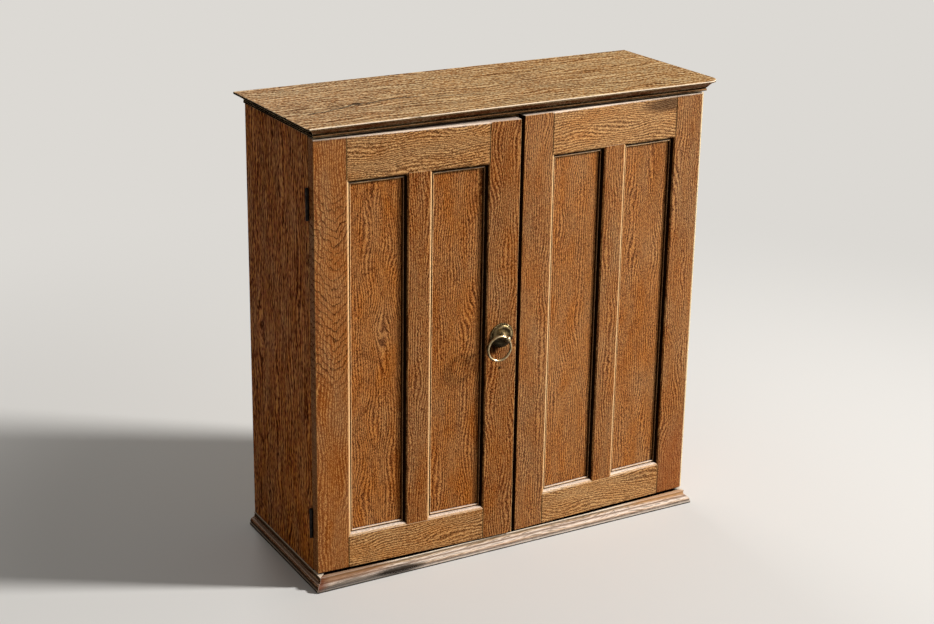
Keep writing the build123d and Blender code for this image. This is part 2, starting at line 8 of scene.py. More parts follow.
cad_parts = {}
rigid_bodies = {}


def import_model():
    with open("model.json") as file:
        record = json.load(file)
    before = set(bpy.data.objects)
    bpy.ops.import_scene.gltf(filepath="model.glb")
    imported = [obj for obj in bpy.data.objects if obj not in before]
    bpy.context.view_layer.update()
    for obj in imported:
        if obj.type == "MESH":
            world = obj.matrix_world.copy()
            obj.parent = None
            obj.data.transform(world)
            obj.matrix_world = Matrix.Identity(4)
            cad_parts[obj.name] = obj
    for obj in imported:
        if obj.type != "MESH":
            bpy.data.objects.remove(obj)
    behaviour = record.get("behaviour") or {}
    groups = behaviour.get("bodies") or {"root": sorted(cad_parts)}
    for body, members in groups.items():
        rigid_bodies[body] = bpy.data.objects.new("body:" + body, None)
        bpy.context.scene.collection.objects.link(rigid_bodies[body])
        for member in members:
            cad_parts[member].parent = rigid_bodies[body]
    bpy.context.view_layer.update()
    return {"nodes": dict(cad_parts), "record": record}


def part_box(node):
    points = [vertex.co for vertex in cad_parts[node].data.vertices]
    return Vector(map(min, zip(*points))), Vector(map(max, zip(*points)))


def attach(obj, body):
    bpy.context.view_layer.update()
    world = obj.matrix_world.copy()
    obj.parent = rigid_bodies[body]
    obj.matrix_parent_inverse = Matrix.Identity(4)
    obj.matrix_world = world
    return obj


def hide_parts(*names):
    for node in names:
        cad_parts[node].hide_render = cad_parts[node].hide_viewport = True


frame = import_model()

MM = 0.001
NODES = frame["nodes"]
RECORD = frame["record"]
BODY_OF = {node: body for body, nodes in RECORD["behaviour"]["bodies"].items() for node in nodes}


# ------------------------------------------------------------------ nodes and colours
def linear(colour):
    """An sRGB hex colour as linear RGBA."""
    values = [int(colour[i : i + 2], 16) / 255 for i in (1, 3, 5)]
    return (*[v / 12.92 if v <= 0.04045 else ((v + 0.055) / 1.055) ** 2.4 for v in values], 1.0)


def feed(tree, node, inputs):
    """Gives each of a node's inputs a value or another node's output."""
    for socket, value in inputs.items():
        if isinstance(value, bpy.types.NodeSocket):
            tree.links.new(value, node.inputs[socket])
        else:
            node.inputs[socket].default_value = value


def put(tree, kind, inputs=None, out=0, **settings):
    """Adds a node with its settings and its inputs, and returns one of its outputs."""
    node = tree.nodes.new("ShaderNode" + kind)
    for name, value in settings.items():
        setattr(node, name, value)
    feed(tree, node, inputs or {})
    return node.outputs[out]


def new_material(name):
    """An empty material with a Principled shader at its output; returns it, its tree and the shader."""
    material = bpy.data.materials.new(name)
    material.use_nodes = True
    tree = material.node_tree
    tree.nodes.clear()
    output = tree.nodes.new("ShaderNodeOutputMaterial")
    shader = tree.nodes.new("ShaderNodeBsdfPrincipled")
    tree.links.new(shader.outputs[0], output.inputs[0])
    return material, tree, shader


BLEND = dict(out=2, data_type="RGBA")  # a Mix node set to colours, which are its inputs 6 and 7
NOISE_SPAN = {"From Min": 0.3, "From Max": 0.7}  # nearly all of a noise's values lie between these


# ------------------------------------------------------------------ oak
# A palette for each place in the cupboard: its latewood, earlywood, pores, worn arrises, and the dark used
# for dirt and painted shade.
FRONT = ("#975a29", "#6f3611", "#301306", "#c08a4b", "#0d0501")
PANEL = ("#9e5d28", "#743a11", "#331506", "#ca8b45", "#0c0401")
RAIL = ("#b07a44", "#824c1e", "#391d09", "#dcab6d", "#0e0601")
TOP = ("#c79354", "#986330", "#3f230c", "#edcb97", "#0c0502")
SIDE = ("#a2530c", "#713103", "#1e0b01", "#cf8933", "#0a0301")
PLINTH = ("#e4d6c9", "#ad8e77", "#2d2119", "#dacbbe", "#120a05")
PLINTH_END = ("#a5673c", "#77421f", "#3a2010", "#dcb58a", "#120a05")
INSIDE = ("#b08452", "#946a3a", "#5b4022", "#c8a06c", "#2c1c0f")

# Board directions: which row axes run across the board's width, through it and along its grain.
UPRIGHT = "XYZ"
CROSS_RAIL = "ZYX"
FLAT = "YZX"
UPRIGHT_SIDE = "YXZ"
FLAT_SIDE = "ZXY"

# The way the light falls from, upwards and to the cupboard's right, as the key lamp's does: faces turned to
# it are painted pale and faces turned away are painted dark.
LIGHT_FROM = (0.66, 0.0, 0.75)
# Cream and chalk stand partly for painted light: pale wood on faces turned to the light, and on faces turned
# up.
CREAM = "#e8b981"  # oak bleached from the side
CHALK = "#f0dac6"  # and from above
HUE_CAST = (0.496, 0.5047)  # from foxy to golden, 0.5 being the oak as it is
DEPTH_CAST = (1.043, 0.956)  # and how strong the colour is where it has turned so

# How the grain is drawn. A size is how long a noise's lumps are, in millimetres across, through and along.
WAVE_SIZE = (26, 26, 50)
LIE_SIZE, LIE_SHIFT = (30, 30, 90), (18, 18, 0)
GRIT_SIZE = (0.8, 0.8, 2.4)
BAND_SIZE = (4, 4, 80)
PATCH_SIZE = (60, 60, 190)
CAST_SIZE = (28, 28, 80)
COMB_PITCH, COMB_WAVER = 4.0, 5.0
COMB_WEIGHT, RING_WEIGHT, BAND_WEIGHT = 0.145, 0.04, 0.12
PORES_FROM, PORES_FULL = 0.47, 0.74
EARLYWOOD_SHARE = 0.55
UNEVEN_YEARS = 3
FIGURE_FADE = 35
SEED_STEP = (3.7, 5.3, 7.1)
DIRT_AND_SHADE_REACH = 7 * MM
RUBBED_WIDTH = 1.3 * MM
PORE_DEPTH = 0.4 * MM


def place_on_board(tree, directions, centre):
    """Place on the board, in millimetres from its middle, as across, through and along the grain."""
    place = put(tree, "TexCoord", out="Object")
    place = put(tree, "VectorMath", {0: place, 1: centre}, operation="SUBTRACT")
    place = put(tree, "VectorMath", {0: place, "Scale": 1 / MM}, operation="SCALE")
    split = put(tree, "SeparateXYZ", {0: place}).node
    across, through, along = [split.outputs["XYZ".index(axis)] for axis in directions]
    return put(tree, "CombineXYZ", {0: across, 1: through, 2: along}), along


def noise_on(tree, place, size, seed, detail=2.0, out=0):
    """Noise whose lumps measure size, in millimetres across, through and along the grain."""
    shift = tuple(seed * step for step in SEED_STEP)
    scale = tuple(1 / s for s in size)
    scaled = put(tree, "VectorMath", {0: place, 1: scale, 2: shift}, operation="MULTIPLY_ADD")
    return put(tree, "TexNoise", {"Vector": scaled, "Scale": 1.0, "Detail": detail}, out=out)


def bend(tree, place, size, seed, shift, detail):
    """A place moved about by noise, by at most half the shift either way."""
    drift = noise_on(tree, place, size, seed, detail=detail, out="Color")
    drift = put(tree, "VectorMath", {0: drift, 1: (0.5, 0.5, 0.5)}, operation="SUBTRACT")
    return put(tree, "VectorMath", {0: drift, 1: shift, 2: place}, operation="MULTIPLY_ADD")


def growth_lines(tree, bent, along, heart, lean, ring, rise):
    """Growth rings round a heart that runs slantwise behind the face, so that they draw arches; each starts
    dark. With a rise, the rings are cones and draw a V every so many millimetres along the board."""
    heart_across = put(tree, "Math", {0: along, 1: lean[0], 2: heart[0]}, operation="MULTIPLY_ADD")
    heart_through = put(tree, "Math", {0: along, 1: lean[1], 2: heart[1]}, operation="MULTIPLY_ADD")
    heart_place = put(tree, "CombineXYZ", {0: heart_across, 1: heart_through})
    spoke = put(tree, "VectorMath", {0: bent, 1: heart_place}, operation="SUBTRACT")
    spoke = put(tree, "VectorMath", {0: spoke, 1: (1, 1, 0)}, operation="MULTIPLY")
    radius = put(tree, "VectorMath", {0: spoke}, out="Value", operation="LENGTH")
    cone = put(tree, "SeparateXYZ", {0: bent}, out=2)
    cone = put(tree, "Math", {0: cone, 1: 1 / rise if rise else 0.0}, operation="MULTIPLY")
    count = put(tree, "Math", {0: radius, 1: 1 / ring, 2: cone}, operation="MULTIPLY_ADD")
    uneven = put(tree, "TexNoise", {"W": count, "Scale": 1 / UNEVEN_YEARS}, noise_dimensions="1D")
    phase = put(tree, "Math", {0: count, 1: uneven}, operation="ADD")
    year = put(tree, "Math", {0: phase}, operation="FRACT")
    dark = {"Value": year, "From Max": EARLYWOOD_SHARE, "To Min": 1.0, "To Max": 0.0}
    return put(tree, "MapRange", dark, interpolation_type="SMOOTHSTEP")


def oak(
    name,
    centre,
    palette,
    directions=UPRIGHT,
    seed=0.0,
    heart=(30.0, 90.0),  # where the tree's heart ran, across and through from the board's middle
    lean=(0.0, 0.08),  # how far it slants either way for each millimetre along
    ring=4.5,  # a year's growth
    rise=0.0,  # how far apart the rings' Vs stand, if they draw any
    ink=0.2,  # how dark the rings are drawn
    wander=4.0,  # how far they stray
    waves=WAVE_SIZE,
    figure=None,  # from where to where along the board the rings show, if not all along
    streaks=0.88,  # how dark the open pores are
    flecks=0.75,  # how pale the proud wood is
    speck=(0.85, 2.7),  # across and along the grain
    pitch=COMB_PITCH,
    comb_length=9.0,
    bands=0.16,  # how strong the long stripes are
    bleach=0.0,
    shade_turned_away=0.0,
    light_from=LIGHT_FROM,
    stains_and_shade=(),
):
    """Sawn oak, weathered dry: the soft earlywood and its open pores have sunk and darkened in short streaks
    along the grain, and the hard latewood between stands proud and pale, so a face looks combed and slightly
    glittery. All sizes are in millimetres."""
    late, early, pore, worn, shade_and_dirt = [linear(c) for c in palette]
    material, tree, shader = new_material(name)
    straight, along = place_on_board(tree, directions, centre)
    wavy = bend(tree, straight, waves, seed, (2 * wander,) * 3, detail=2.5)
    spring = growth_lines(tree, wavy, along, heart, lean, ring, rise)
    bent = bend(tree, straight, LIE_SIZE, seed + 4, LIE_SHIFT, detail=0.0)

    # Pores are 0.3 mm wide, too fine to show. They are drawn as the specks and combed lines that they gather
    # into, the lines 4 to 11 mm apart.
    spread = put(tree, "VectorMath", {0: bent, 1: (1, 1, 0)}, out="Value", operation="DOT_PRODUCT")
    waver = noise_on(tree, bent, (1.4 * pitch, 1.4 * pitch, comb_length), seed + 2, detail=1.0)
    waver = put(tree, "Math", {0: waver, 1: COMB_WAVER}, operation="MULTIPLY")
    comb = put(tree, "Math", {0: spread, 1: math.tau / pitch, 2: waver}, operation="MULTIPLY_ADD")
    comb = put(tree, "Math", {0: comb}, operation="SINE")
    short = noise_on(tree, bent, (speck[0], speck[0], speck[1]), seed, detail=0.5)
    fine = noise_on(tree, bent, GRIT_SIZE, seed)
    band = noise_on(tree, bent, BAND_SIZE, seed + 6, detail=1.5)
    band = put(tree, "MapRange", {"Value": band, **NOISE_SPAN, "To Min": -bands, "To Max": bands})
    opened = short
    for part, weight in ((comb, COMB_WEIGHT), (spring, RING_WEIGHT), (band, BAND_WEIGHT)):
        opened = put(tree, "Math", {0: part, 1: weight, 2: opened}, operation="MULTIPLY_ADD")
    pores = {"Value": opened, "From Min": PORES_FROM, "From Max": PORES_FULL, "To Max": streaks}
    pores = put(tree, "MapRange", pores, interpolation_type="SMOOTHSTEP")
    broken = put(tree, "MapRange", {"Value": short, "From Min": 0.35, "From Max": 0.6, "To Min": 0.6})
    drawn = put(tree, "Math", {0: spring, 1: 3.0}, operation="POWER")
    drawn = put(tree, "Math", {0: drawn, 1: broken}, operation="MULTIPLY")
    drawn = put(tree, "Math", {0: drawn, 1: ink}, operation="MULTIPLY")
    if figure:
        for edge, fade in zip(figure, (FIGURE_FADE, -FIGURE_FADE)):
            shown = put(tree, "MapRange", {"Value": along, "From Min": edge - fade, "From Max": edge + fade})
            drawn = put(tree, "Math", {0: drawn, 1: shown}, operation="MULTIPLY")
        rings_only = put(tree, "Math", {0: drawn, 1: 3.0}, operation="MULTIPLY", use_clamp=True)
        thinned = put(tree, "MapRange", {"Value": rings_only, "To Min": 0.55, "To Max": 0.3})
        pores = put(tree, "Math", {0: pores, 1: thinned}, operation="MULTIPLY")
    pores = put(tree, "Math", {0: pores, 1: drawn}, operation="MAXIMUM")
    proud = {"Value": opened, "From Min": 0.48, "From Max": 0.28, "To Max": flecks}
    proud = put(tree, "MapRange", proud, interpolation_type="SMOOTHSTEP")

    # Broad changes of tone, as the board dried and was handled.
    patch = noise_on(tree, straight, PATCH_SIZE, seed + 9, detail=3.0)
    tone = put(tree, "MapRange", {"Value": patch, **NOISE_SPAN, "To Min": 0.1, "To Max": 0.55})
    tone = put(tree, "Math", {0: spring, 1: 0.2, 2: tone}, operation="MULTIPLY_ADD")
    grit = put(tree, "MapRange", {"Value": fine, **NOISE_SPAN, "To Min": -0.3, "To Max": 0.45})
    tone = put(tree, "Math", {0: tone, 1: grit})
    tone = put(tree, "Math", {0: band, 1: 0.5, 2: tone}, operation="MULTIPLY_ADD", use_clamp=True)
    colour = put(tree, "Mix", {0: tone, 6: late, 7: early}, **BLEND)
    colour = put(tree, "Mix", {0: proud, 6: colour, 7: worn}, **BLEND)
    colour = put(tree, "Mix", {0: pores, 6: colour, 7: pore}, **BLEND)

    # Painted light and shade, with some real bleaching: faces turned to the light are painted pale, palest
    # where they face up, and faces turned away are painted dark.
    open_air = put(tree, "AmbientOcclusion", {"Distance": DIRT_AND_SHADE_REACH}, out="AO", samples=4)
    facing = put(tree, "TexCoord", out="Normal")
    sun = put(tree, "VectorMath", {0: facing, 1: light_from}, out="Value", operation="DOT_PRODUCT")
    thin = put(tree, "MapRange", {"Value": pores, "To Min": 1.0, "To Max": 0.45})
    # Painted highlight with bleaching: pale on faces turned to the light, chalk where they face up.
    if bleach:
        pale = put(tree, "MapRange", {"Value": sun, "From Min": 0.01, "From Max": 0.22, "To Max": bleach})
        pale = put(tree, "Math", {0: pale, 1: thin}, operation="MULTIPLY")
        upward = put(tree, "SeparateXYZ", {0: facing}, out=2)
        upward = put(tree, "MapRange", {"Value": upward, "From Min": 0.2, "From Max": 0.7})
        blond = put(tree, "Mix", {0: upward, 6: linear(CREAM), 7: linear(CHALK)}, **BLEND)
        colour = put(tree, "Mix", {0: pale, 6: colour, 7: blond}, **BLEND)
    # Some stretches have kept a golden cast where others have turned foxy.
    cast = noise_on(tree, straight, CAST_SIZE, seed + 12, detail=2.5)
    hue, depth = [
        put(tree, "MapRange", {"Value": cast, **NOISE_SPAN, "To Min": foxy, "To Max": golden})
        for foxy, golden in (HUE_CAST, DEPTH_CAST)
    ]
    colour = put(tree, "HueSaturation", {"Hue": hue, "Saturation": depth, "Color": colour})
    for mark in stains_and_shade:
        colour = mark(tree, colour, patch, fine)
    # Painted shade: faces turned away from the light are darkened towards the palette's darkest colour.
    if shade_turned_away:
        dark = put(tree, "MapRange", {"Value": sun, "From Min": -0.05, "From Max": -0.38, "To Max": shade_turned_away})
        colour = put(tree, "Mix", {0: dark, 6: colour, 7: shade_and_dirt}, **BLEND)

    # Arrises rubbed down to pale wood, more in some places than in others, and the corners and recesses
    # darkened, dirt and painted shade together, least on faces turned to the light.
    normal = put(tree, "NewGeometry", out="Normal")
    rounded = put(tree, "Bevel", {"Radius": RUBBED_WIDTH}, samples=4)
    turned = put(tree, "VectorMath", {0: rounded, 1: normal}, out="Value", operation="DOT_PRODUCT")
    arris = put(tree, "MapRange", {"Value": turned, "From Min": 0.99, "From Max": 0.88})
    scuff = {"Value": patch, "From Min": 0.35, "From Max": 0.6, "To Min": 0.2, "To Max": 0.8}
    scuff = put(tree, "MapRange", scuff)
    arris = put(tree, "Math", {0: arris, 1: scuff}, operation="MULTIPLY")
    reached = put(tree, "MapRange", {"Value": open_air, "From Min": 0.75, "From Max": 0.95})
    arris = put(tree, "Math", {0: arris, 1: reached}, operation="MULTIPLY")
    colour = put(tree, "Mix", {0: arris, 6: colour, 7: worn}, **BLEND)

    # Painted shade with dirt: darker where little open air reaches, in corners and recesses.
    dirt_and_shade = put(tree, "MapRange", {"Value": open_air, "From Min": 0.82, "From Max": 0.4, "To Max": 0.96})
    away_from_light = {"Value": sun, "From Min": 0.05, "From Max": 0.6, "To Min": 1.0, "To Max": 0.2}
    away_from_light = put(tree, "MapRange", away_from_light)
    dirt_and_shade = put(tree, "Math", {0: dirt_and_shade, 1: away_from_light}, operation="MULTIPLY")
    colour = put(tree, "Mix", {0: dirt_and_shade, 6: colour, 7: shade_and_dirt}, **BLEND)

    rough = put(tree, "Math", {0: tone, 1: 0.16, 2: 0.52}, operation="MULTIPLY_ADD")
    rough = put(tree, "Math", {0: pores, 1: 0.22, 2: rough}, operation="MULTIPLY_ADD")
    sunk = put(tree, "Math", {0: spring, 1: 0.3, 2: pores}, operation="MULTIPLY_ADD")
    sunk = put(tree, "Math", {0: fine, 1: 0.35, 2: sunk}, operation="MULTIPLY_ADD")
    level = put(tree, "Math", {0: 1.0, 1: sunk}, operation="SUBTRACT")
    bump = put(tree, "Bump", {"Height": level, "Strength": 0.6, "Distance": PORE_DEPTH})
    # Dark places, dirt, open pores and painted shade alike, are matt; only the rest of the wood keeps a
    # little sheen.
    sheen = put(tree, "RGBToBW", {0: colour})
    sheen = put(tree, "MapRange", {"Value": sheen, "From Min": 0.01, "From Max": 0.14, "To Max": 0.16})
    surface = {"Base Color": colour, "Roughness": rough, "Normal": bump, "Specular IOR Level": sheen}
    feed(tree, shader, surface)
    return material


BLUR = 0.2  # half the width, in millimetres, over which one band passes into the next


def banded(levels, steep=False):
    """Colour that follows a moulding's members, old polish and wear together with painted highlights and
    painted shade, each a height from and to in millimetres, its colour and how much of it covers the wood;
    steep leaves out what faces up."""

    def mark(tree, colour, patch, fine):
        height = put(tree, "TexCoord", out="Object")
        height = put(tree, "SeparateXYZ", {0: height}, out=2)
        facing = put(tree, "TexCoord", out="Normal")
        upward = put(tree, "SeparateXYZ", {0: facing}, out=2)
        kept = put(tree, "MapRange", {"Value": upward, "From Min": 0.95, "From Max": 0.8})
        for low, high, tint, most in levels:
            above = {"From Min": (low - BLUR) * MM, "From Max": (low + BLUR) * MM, "To Max": most}
            below = {"From Min": (high + BLUR) * MM, "From Max": (high - BLUR) * MM}
            above, below = [put(tree, "MapRange", {"Value": height, **ends}) for ends in (above, below)]
            amount = put(tree, "Math", {0: above, 1: below}, operation="MULTIPLY")
            if steep:
                amount = put(tree, "Math", {0: amount, 1: kept}, operation="MULTIPLY")
            rubbed = put(tree, "MapRange", {"Value": fine, "From Min": 0.3, "From Max": 0.6, "To Min": 0.85})
            amount = put(tree, "Math", {0: amount, 1: rubbed}, operation="MULTIPLY")
            colour = put(tree, "Mix", {0: amount, 6: colour, 7: linear(tint)}, **BLEND)
        return colour

    return mark


PATCH_RAGS, GRIT_RAGS = 0.6, 0.5


def blotch(centre, reach, tint, most):
    """A soft-edged patch round a place on the cupboard, in millimetres, broken up by the wood's patches; it
    draws stains and painted shade alike.
    """

    def mark(tree, colour, patch, fine):
        place = put(tree, "TexCoord", out="Object")
        scale = tuple(1 / (r * MM) for r in reach)
        shift = tuple(-c / r for c, r in zip(centre, reach))
        offset = put(tree, "VectorMath", {0: place, 1: scale, 2: shift}, operation="MULTIPLY_ADD")
        away = put(tree, "VectorMath", {0: offset}, out="Value", operation="LENGTH")
        ragged = put(tree, "Math", {0: patch, 1: PATCH_RAGS, 2: away}, operation="MULTIPLY_ADD")
        ragged = put(tree, "Math", {0: fine, 1: GRIT_RAGS, 2: ragged}, operation="MULTIPLY_ADD")
        amount = put(tree, "MapRange", {"Value": ragged, "From Min": 1.55, "From Max": 1.1, "To Max": most})
        return put(tree, "Mix", {0: amount, 6: colour, 7: linear(tint)}, **BLEND)

    return mark


FAR_OFF = 9


def seam(paths, reach, tint, most, solid=0.0):
    """A mark along paths: dirt along cracks and joints, pale wear and painted highlights along arrises, and
    painted shade along beads and under the doors.
    Each path is a list of places, in millimetres, and reach is how far to either side the mark spreads,
    unevenly, beyond a solid strip."""

    def mark(tree, colour, patch, fine):
        place = put(tree, "TexCoord", out="Object")
        place = put(tree, "VectorMath", {0: place, "Scale": 1 / MM}, operation="SCALE")
        nearest = FAR_OFF * reach
        for path in paths:
            for start, end in zip(path, path[1:]):
                run = Vector(end) - Vector(start)
                offset = put(tree, "VectorMath", {0: place, 1: start}, operation="SUBTRACT")
                share = {0: offset, 1: run / run.length_squared}
                share = put(tree, "VectorMath", share, out="Value", operation="DOT_PRODUCT")
                share = put(tree, "Math", {0: share, 1: 0.0}, use_clamp=True)
                foot = put(tree, "VectorMath", {0: run, "Scale": share}, operation="SCALE")
                away = put(tree, "VectorMath", {0: offset, 1: foot}, out="Value", operation="DISTANCE")
                nearest = put(tree, "Math", {0: away, 1: nearest}, operation="MINIMUM")
        nearest = put(tree, "Math", {0: nearest, 1: solid}, operation="SUBTRACT")
        ragged = put(tree, "Math", {0: fine, 1: 1.2 * reach, 2: nearest}, operation="MULTIPLY_ADD")
        amount = {"Value": ragged, "From Min": 1.6 * reach, "From Max": reach, "To Max": most}
        amount = put(tree, "MapRange", amount)
        return put(tree, "Mix", {0: amount, 6: colour, 7: linear(tint)}, **BLEND)

    return mark


# ------------------------------------------------------------------ working the boards
def only(piece):
    """Selects one object and makes it active."""
    bpy.ops.object.select_all(action="DESELECT")
    piece.select_set(True)
    bpy.context.view_layer.objects.active = piece


def edit_all():
    """Opens the active object for editing, with all of it selected."""
    bpy.ops.object.mode_set(mode="EDIT")
    bpy.ops.mesh.select_all(action="SELECT")


SAME_PLACE = 0.001 * MM
SAME_FACE = math.radians(0.4)


def take_copy(node):
    """A copy of a CAD node with its loose facets joined into whole faces."""
    only(NODES[node])
    bpy.ops.object.duplicate()
    piece = bpy.context.object
    piece.name = node + ".worked"
    bpy.ops.object.parent_clear(type="CLEAR_KEEP_TRANSFORM")
    bpy.ops.mesh.customdata_custom_splitnormals_clear()
    edit_all()
    bpy.ops.mesh.remove_doubles(threshold=SAME_PLACE)
    bpy.ops.mesh.dissolve_limited(angle_limit=SAME_FACE)
    bpy.ops.object.mode_set(mode="OBJECT")
    return piece


def apply_modifier(piece, modifier):
    only(piece)
    bpy.ops.object.modifier_apply(modifier=modifier.name)


def cut(piece, cutter):
    """Takes a cutter's shape out of a piece, and the cutter away."""
    modifier = piece.modifiers.new("cut", "BOOLEAN")
    modifier.operation = "DIFFERENCE"
    modifier.solver = "EXACT"
    modifier.object = cutter
    apply_modifier(piece, modifier)
    only(cutter)
    bpy.ops.object.delete()


SHARP_FROM = math.radians(28)
SMOOTH_BELOW = math.radians(35)
WIDEST_ARRIS = 1.4 * MM
FINE_ARRIS = 0.2 * MM
JOINT_ARRIS = 0.45 * MM
SHRUNK_ARRIS = 0.75 * MM
PLINTH_ARRIS = 0.5 * MM
WORN_ARRIS = 0.9 * MM
LUMP_ROUGHNESS = 0.12
CRACK_TIP = 0.1


def ease(piece, width_of):
    """Rounds every sharp arris by the width that width_of gives for its middle and the faces beside it."""
    weights = piece.data.attributes.new("bevel_weight_edge", "FLOAT", "EDGE")
    vertices = piece.data.vertices
    beside = {}
    for polygon in piece.data.polygons:
        for key in polygon.edge_keys:
            beside.setdefault(key, []).append(polygon)
    for edge in piece.data.edges:
        faces = beside.get(edge.key, [])
        if len(faces) == 2 and faces[0].normal.dot(faces[1].normal) < math.cos(SHARP_FROM):
            middle = (vertices[edge.vertices[0]].co + vertices[edge.vertices[1]].co) / 2
            weights.data[edge.index].value = width_of(middle, faces) / WIDEST_ARRIS
    bevel = piece.modifiers.new("eased", "BEVEL")
    bevel.limit_method = "WEIGHT"
    bevel.width = WIDEST_ARRIS
    bevel.segments = 2
    bevel.use_clamp_overlap = False
    apply_modifier(piece, bevel)


def lump(place, size, turn, seed):
    """A rough lump of waste, its middle and half sizes in millimetres, to be cut out of a piece."""
    bpy.ops.object.select_all(action="DESELECT")
    bpy.ops.mesh.primitive_ico_sphere_add(subdivisions=3, radius=1.0, rotation=(turn, turn / 2, turn))
    waste = bpy.context.object
    edit_all()
    bpy.ops.transform.vertex_random(offset=LUMP_ROUGHNESS, seed=seed)
    bpy.ops.object.mode_set(mode="OBJECT")
    waste.scale = [half * MM for half in size]
    waste.location = [step * MM for step in place]
    bpy.ops.object.transform_apply()
    return waste


def crack_waste(path, surface, widest):
    """A wedge of waste that follows a path over a level surface, in millimetres, widest in its middle."""
    bpy.ops.object.select_all(action="DESELECT")
    start = Vector((*path[0], surface)) * MM
    bpy.ops.mesh.primitive_circle_add(vertices=4, radius=CRACK_TIP * MM, fill_type="NGON", location=start)
    waste = bpy.context.object
    bpy.ops.object.transform_apply()
    edit_all()
    bpy.ops.transform.rotate(value=math.pi / 2, orient_axis="Y", center_override=start)
    bpy.ops.transform.rotate(value=math.pi / 4, orient_axis="X", center_override=start)
    width = CRACK_TIP
    for step, (before, after) in enumerate(zip(path, path[1:]), 1):
        move = Vector((after[0] - before[0], after[1] - before[1], 0)) * MM
        bpy.ops.mesh.extrude_region_move(TRANSFORM_OT_translate={"value": move})
        swell = math.sin(math.pi * step / (len(path) - 1)) ** 0.6
        uneven = 0.75 + 0.25 * math.cos(2.3 * step)
        wanted = max(CRACK_TIP + widest * swell * uneven, CRACK_TIP)
        here = Vector((*after, surface)) * MM
        bpy.ops.transform.resize(value=(1, wanted / width, wanted / width), center_override=here)
        width = wanted
    bpy.ops.mesh.select_all(action="SELECT")
    bpy.ops.mesh.normals_make_consistent(inside=False)
    bpy.ops.object.mode_set(mode="OBJECT")
    return waste


def smooth(piece):
    """Shades the rounded arrises smooth and keeps the flat faces flat."""
    only(piece)
    bpy.ops.object.shade_smooth_by_angle(angle=SMOOTH_BELOW)
    flat = piece.modifiers.new("flat_faces_stay_flat", "WEIGHTED_NORMAL")
    flat.keep_sharp = True
    apply_modifier(piece, flat)


def dress(piece, material, node):
    """Gives a piece, which stands in the place of a CAD node, its material and that node's body, and hides
    the node.
    """
    piece.data.materials.clear()
    piece.data.materials.append(material)
    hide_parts(node)
    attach(piece, BODY_OF[node])


# ------------------------------------------------------------------ the wood
TOP_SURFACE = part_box("top_board")[1].z
PLINTH_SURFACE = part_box("plinth_front")[1].z
JUST_UNDER = 1 * MM

# Heights on the doors, in millimetres: their ends, their rails' inner edges, and where joints and beads end.
DOOR_FOOT, DOOR_HEAD = 26, 742
FOOT_RAIL_TOP, HEAD_RAIL_FOOT = 78, 673
JOINTS_BELOW, JOINTS_ABOVE = 76, 675
CORNERS_BELOW, CORNERS_ABOVE = 70, 690
BEAD_FOOT, BEAD_HEAD = 80, 671
BEAD_CORNERS = (60, 100)  # a bead's lower corners lie between these
BEAD_WIDTH, BEAD_DEPTH = 1.6, 9
WHOLE_FACE = 400 * MM * MM  # less is a moulding's face, not a board's
AT_SIDE, AT_FOOT, AT_HEAD = 1.5 * MM, 4 * MM, 5 * MM
IN_FACE = 0.05

# Which way the width of each door runs as it stands ajar, by 2.4 and 1.9 degrees.
DOOR_TURNS = {"left": Vector((0.99912, -0.04188, 0.0)), "right": Vector((0.99945, 0.03316, 0.0))}


def middle_of(node):
    low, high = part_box(node)
    return (low + high) / 2


def fine_arris(middle, faces):
    return FINE_ARRIS


def top_arris(middle, faces):
    return WORN_ARRIS if middle.z > TOP_SURFACE - JUST_UNDER else FINE_ARRIS


def plinth_arris(middle, faces):
    return PLINTH_ARRIS if middle.z > PLINTH_SURFACE - JUST_UNDER else FINE_ARRIS


def door_arris(node):
    """Wide along the joints of a door's face, widest where it ends at the air, fine on the mouldings."""
    side = "left" if node.startswith("left") else "right"
    stile_low, stile_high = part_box(side + "_hinge_stile")
    hung_at = stile_low.x if side == "left" else stile_high.x
    free_low, free_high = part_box(side + "_meeting_stile")
    free_at = free_high.x if side == "left" else free_low.x

    def width_of(middle, faces):
        at_face = any(face.normal.y < -0.99 and face.area > WHOLE_FACE for face in faces)
        outer = min(abs(middle.x - hung_at), abs(middle.x - free_at)) < AT_SIDE
        ends = middle.z < stile_low.z + AT_FOOT or middle.z > stile_high.z - AT_HEAD
        shoulder = not JOINTS_BELOW * MM < middle.z < JOINTS_ABOVE * MM
        if at_face and (outer or ends):
            return WORN_ARRIS
        if at_face and shoulder:
            return SHRUNK_ARRIS
        return JOINT_ARRIS if at_face else FINE_ARRIS

    return width_of


def face_corners(stile):
    """A stile's corners in its door's front face and all of its corners, in millimetres, and the way in."""
    turned = DOOR_TURNS[stile.split("_")[0]]
    inward = Vector((-turned.y, turned.x, 0.0))
    corners = [NODES[stile].matrix_world @ vertex.co / MM for vertex in NODES[stile].data.vertices]
    front = min(corner.dot(inward) for corner in corners)
    return [corner for corner in corners if corner.dot(inward) < front + IN_FACE], corners, inward


def joint_dirt(stile, way):
    """A dark line down the joints between a stile and its rails; way is +1 when they lie on its +X side."""
    at_face = [c for c in face_corners(stile)[0] if not CORNERS_BELOW < c.z < CORNERS_ABOVE]
    x, y, _ = max(at_face, key=lambda corner: way * corner.x)
    joints = ((DOOR_FOOT, FOOT_RAIL_TOP), (HEAD_RAIL_FOOT, DOOR_HEAD - 1))
    return seam([[(x, y, low), (x, y, high)] for low, high in joints], 1.5, "#120803", 0.85)


def edge_rub_and_highlight(stile, way):
    """A pale line along the outer arris of a stile, on the side that way gives: rubbed by hands, and painted
    as a highlight where the light catches it.
    """
    x, y, _ = max(face_corners(stile)[0], key=lambda corner: way * corner.x)
    return seam([[(x, y, DOOR_FOOT), (x, y, DOOR_HEAD)]], 3.2, "#f7e0b0", 0.92)


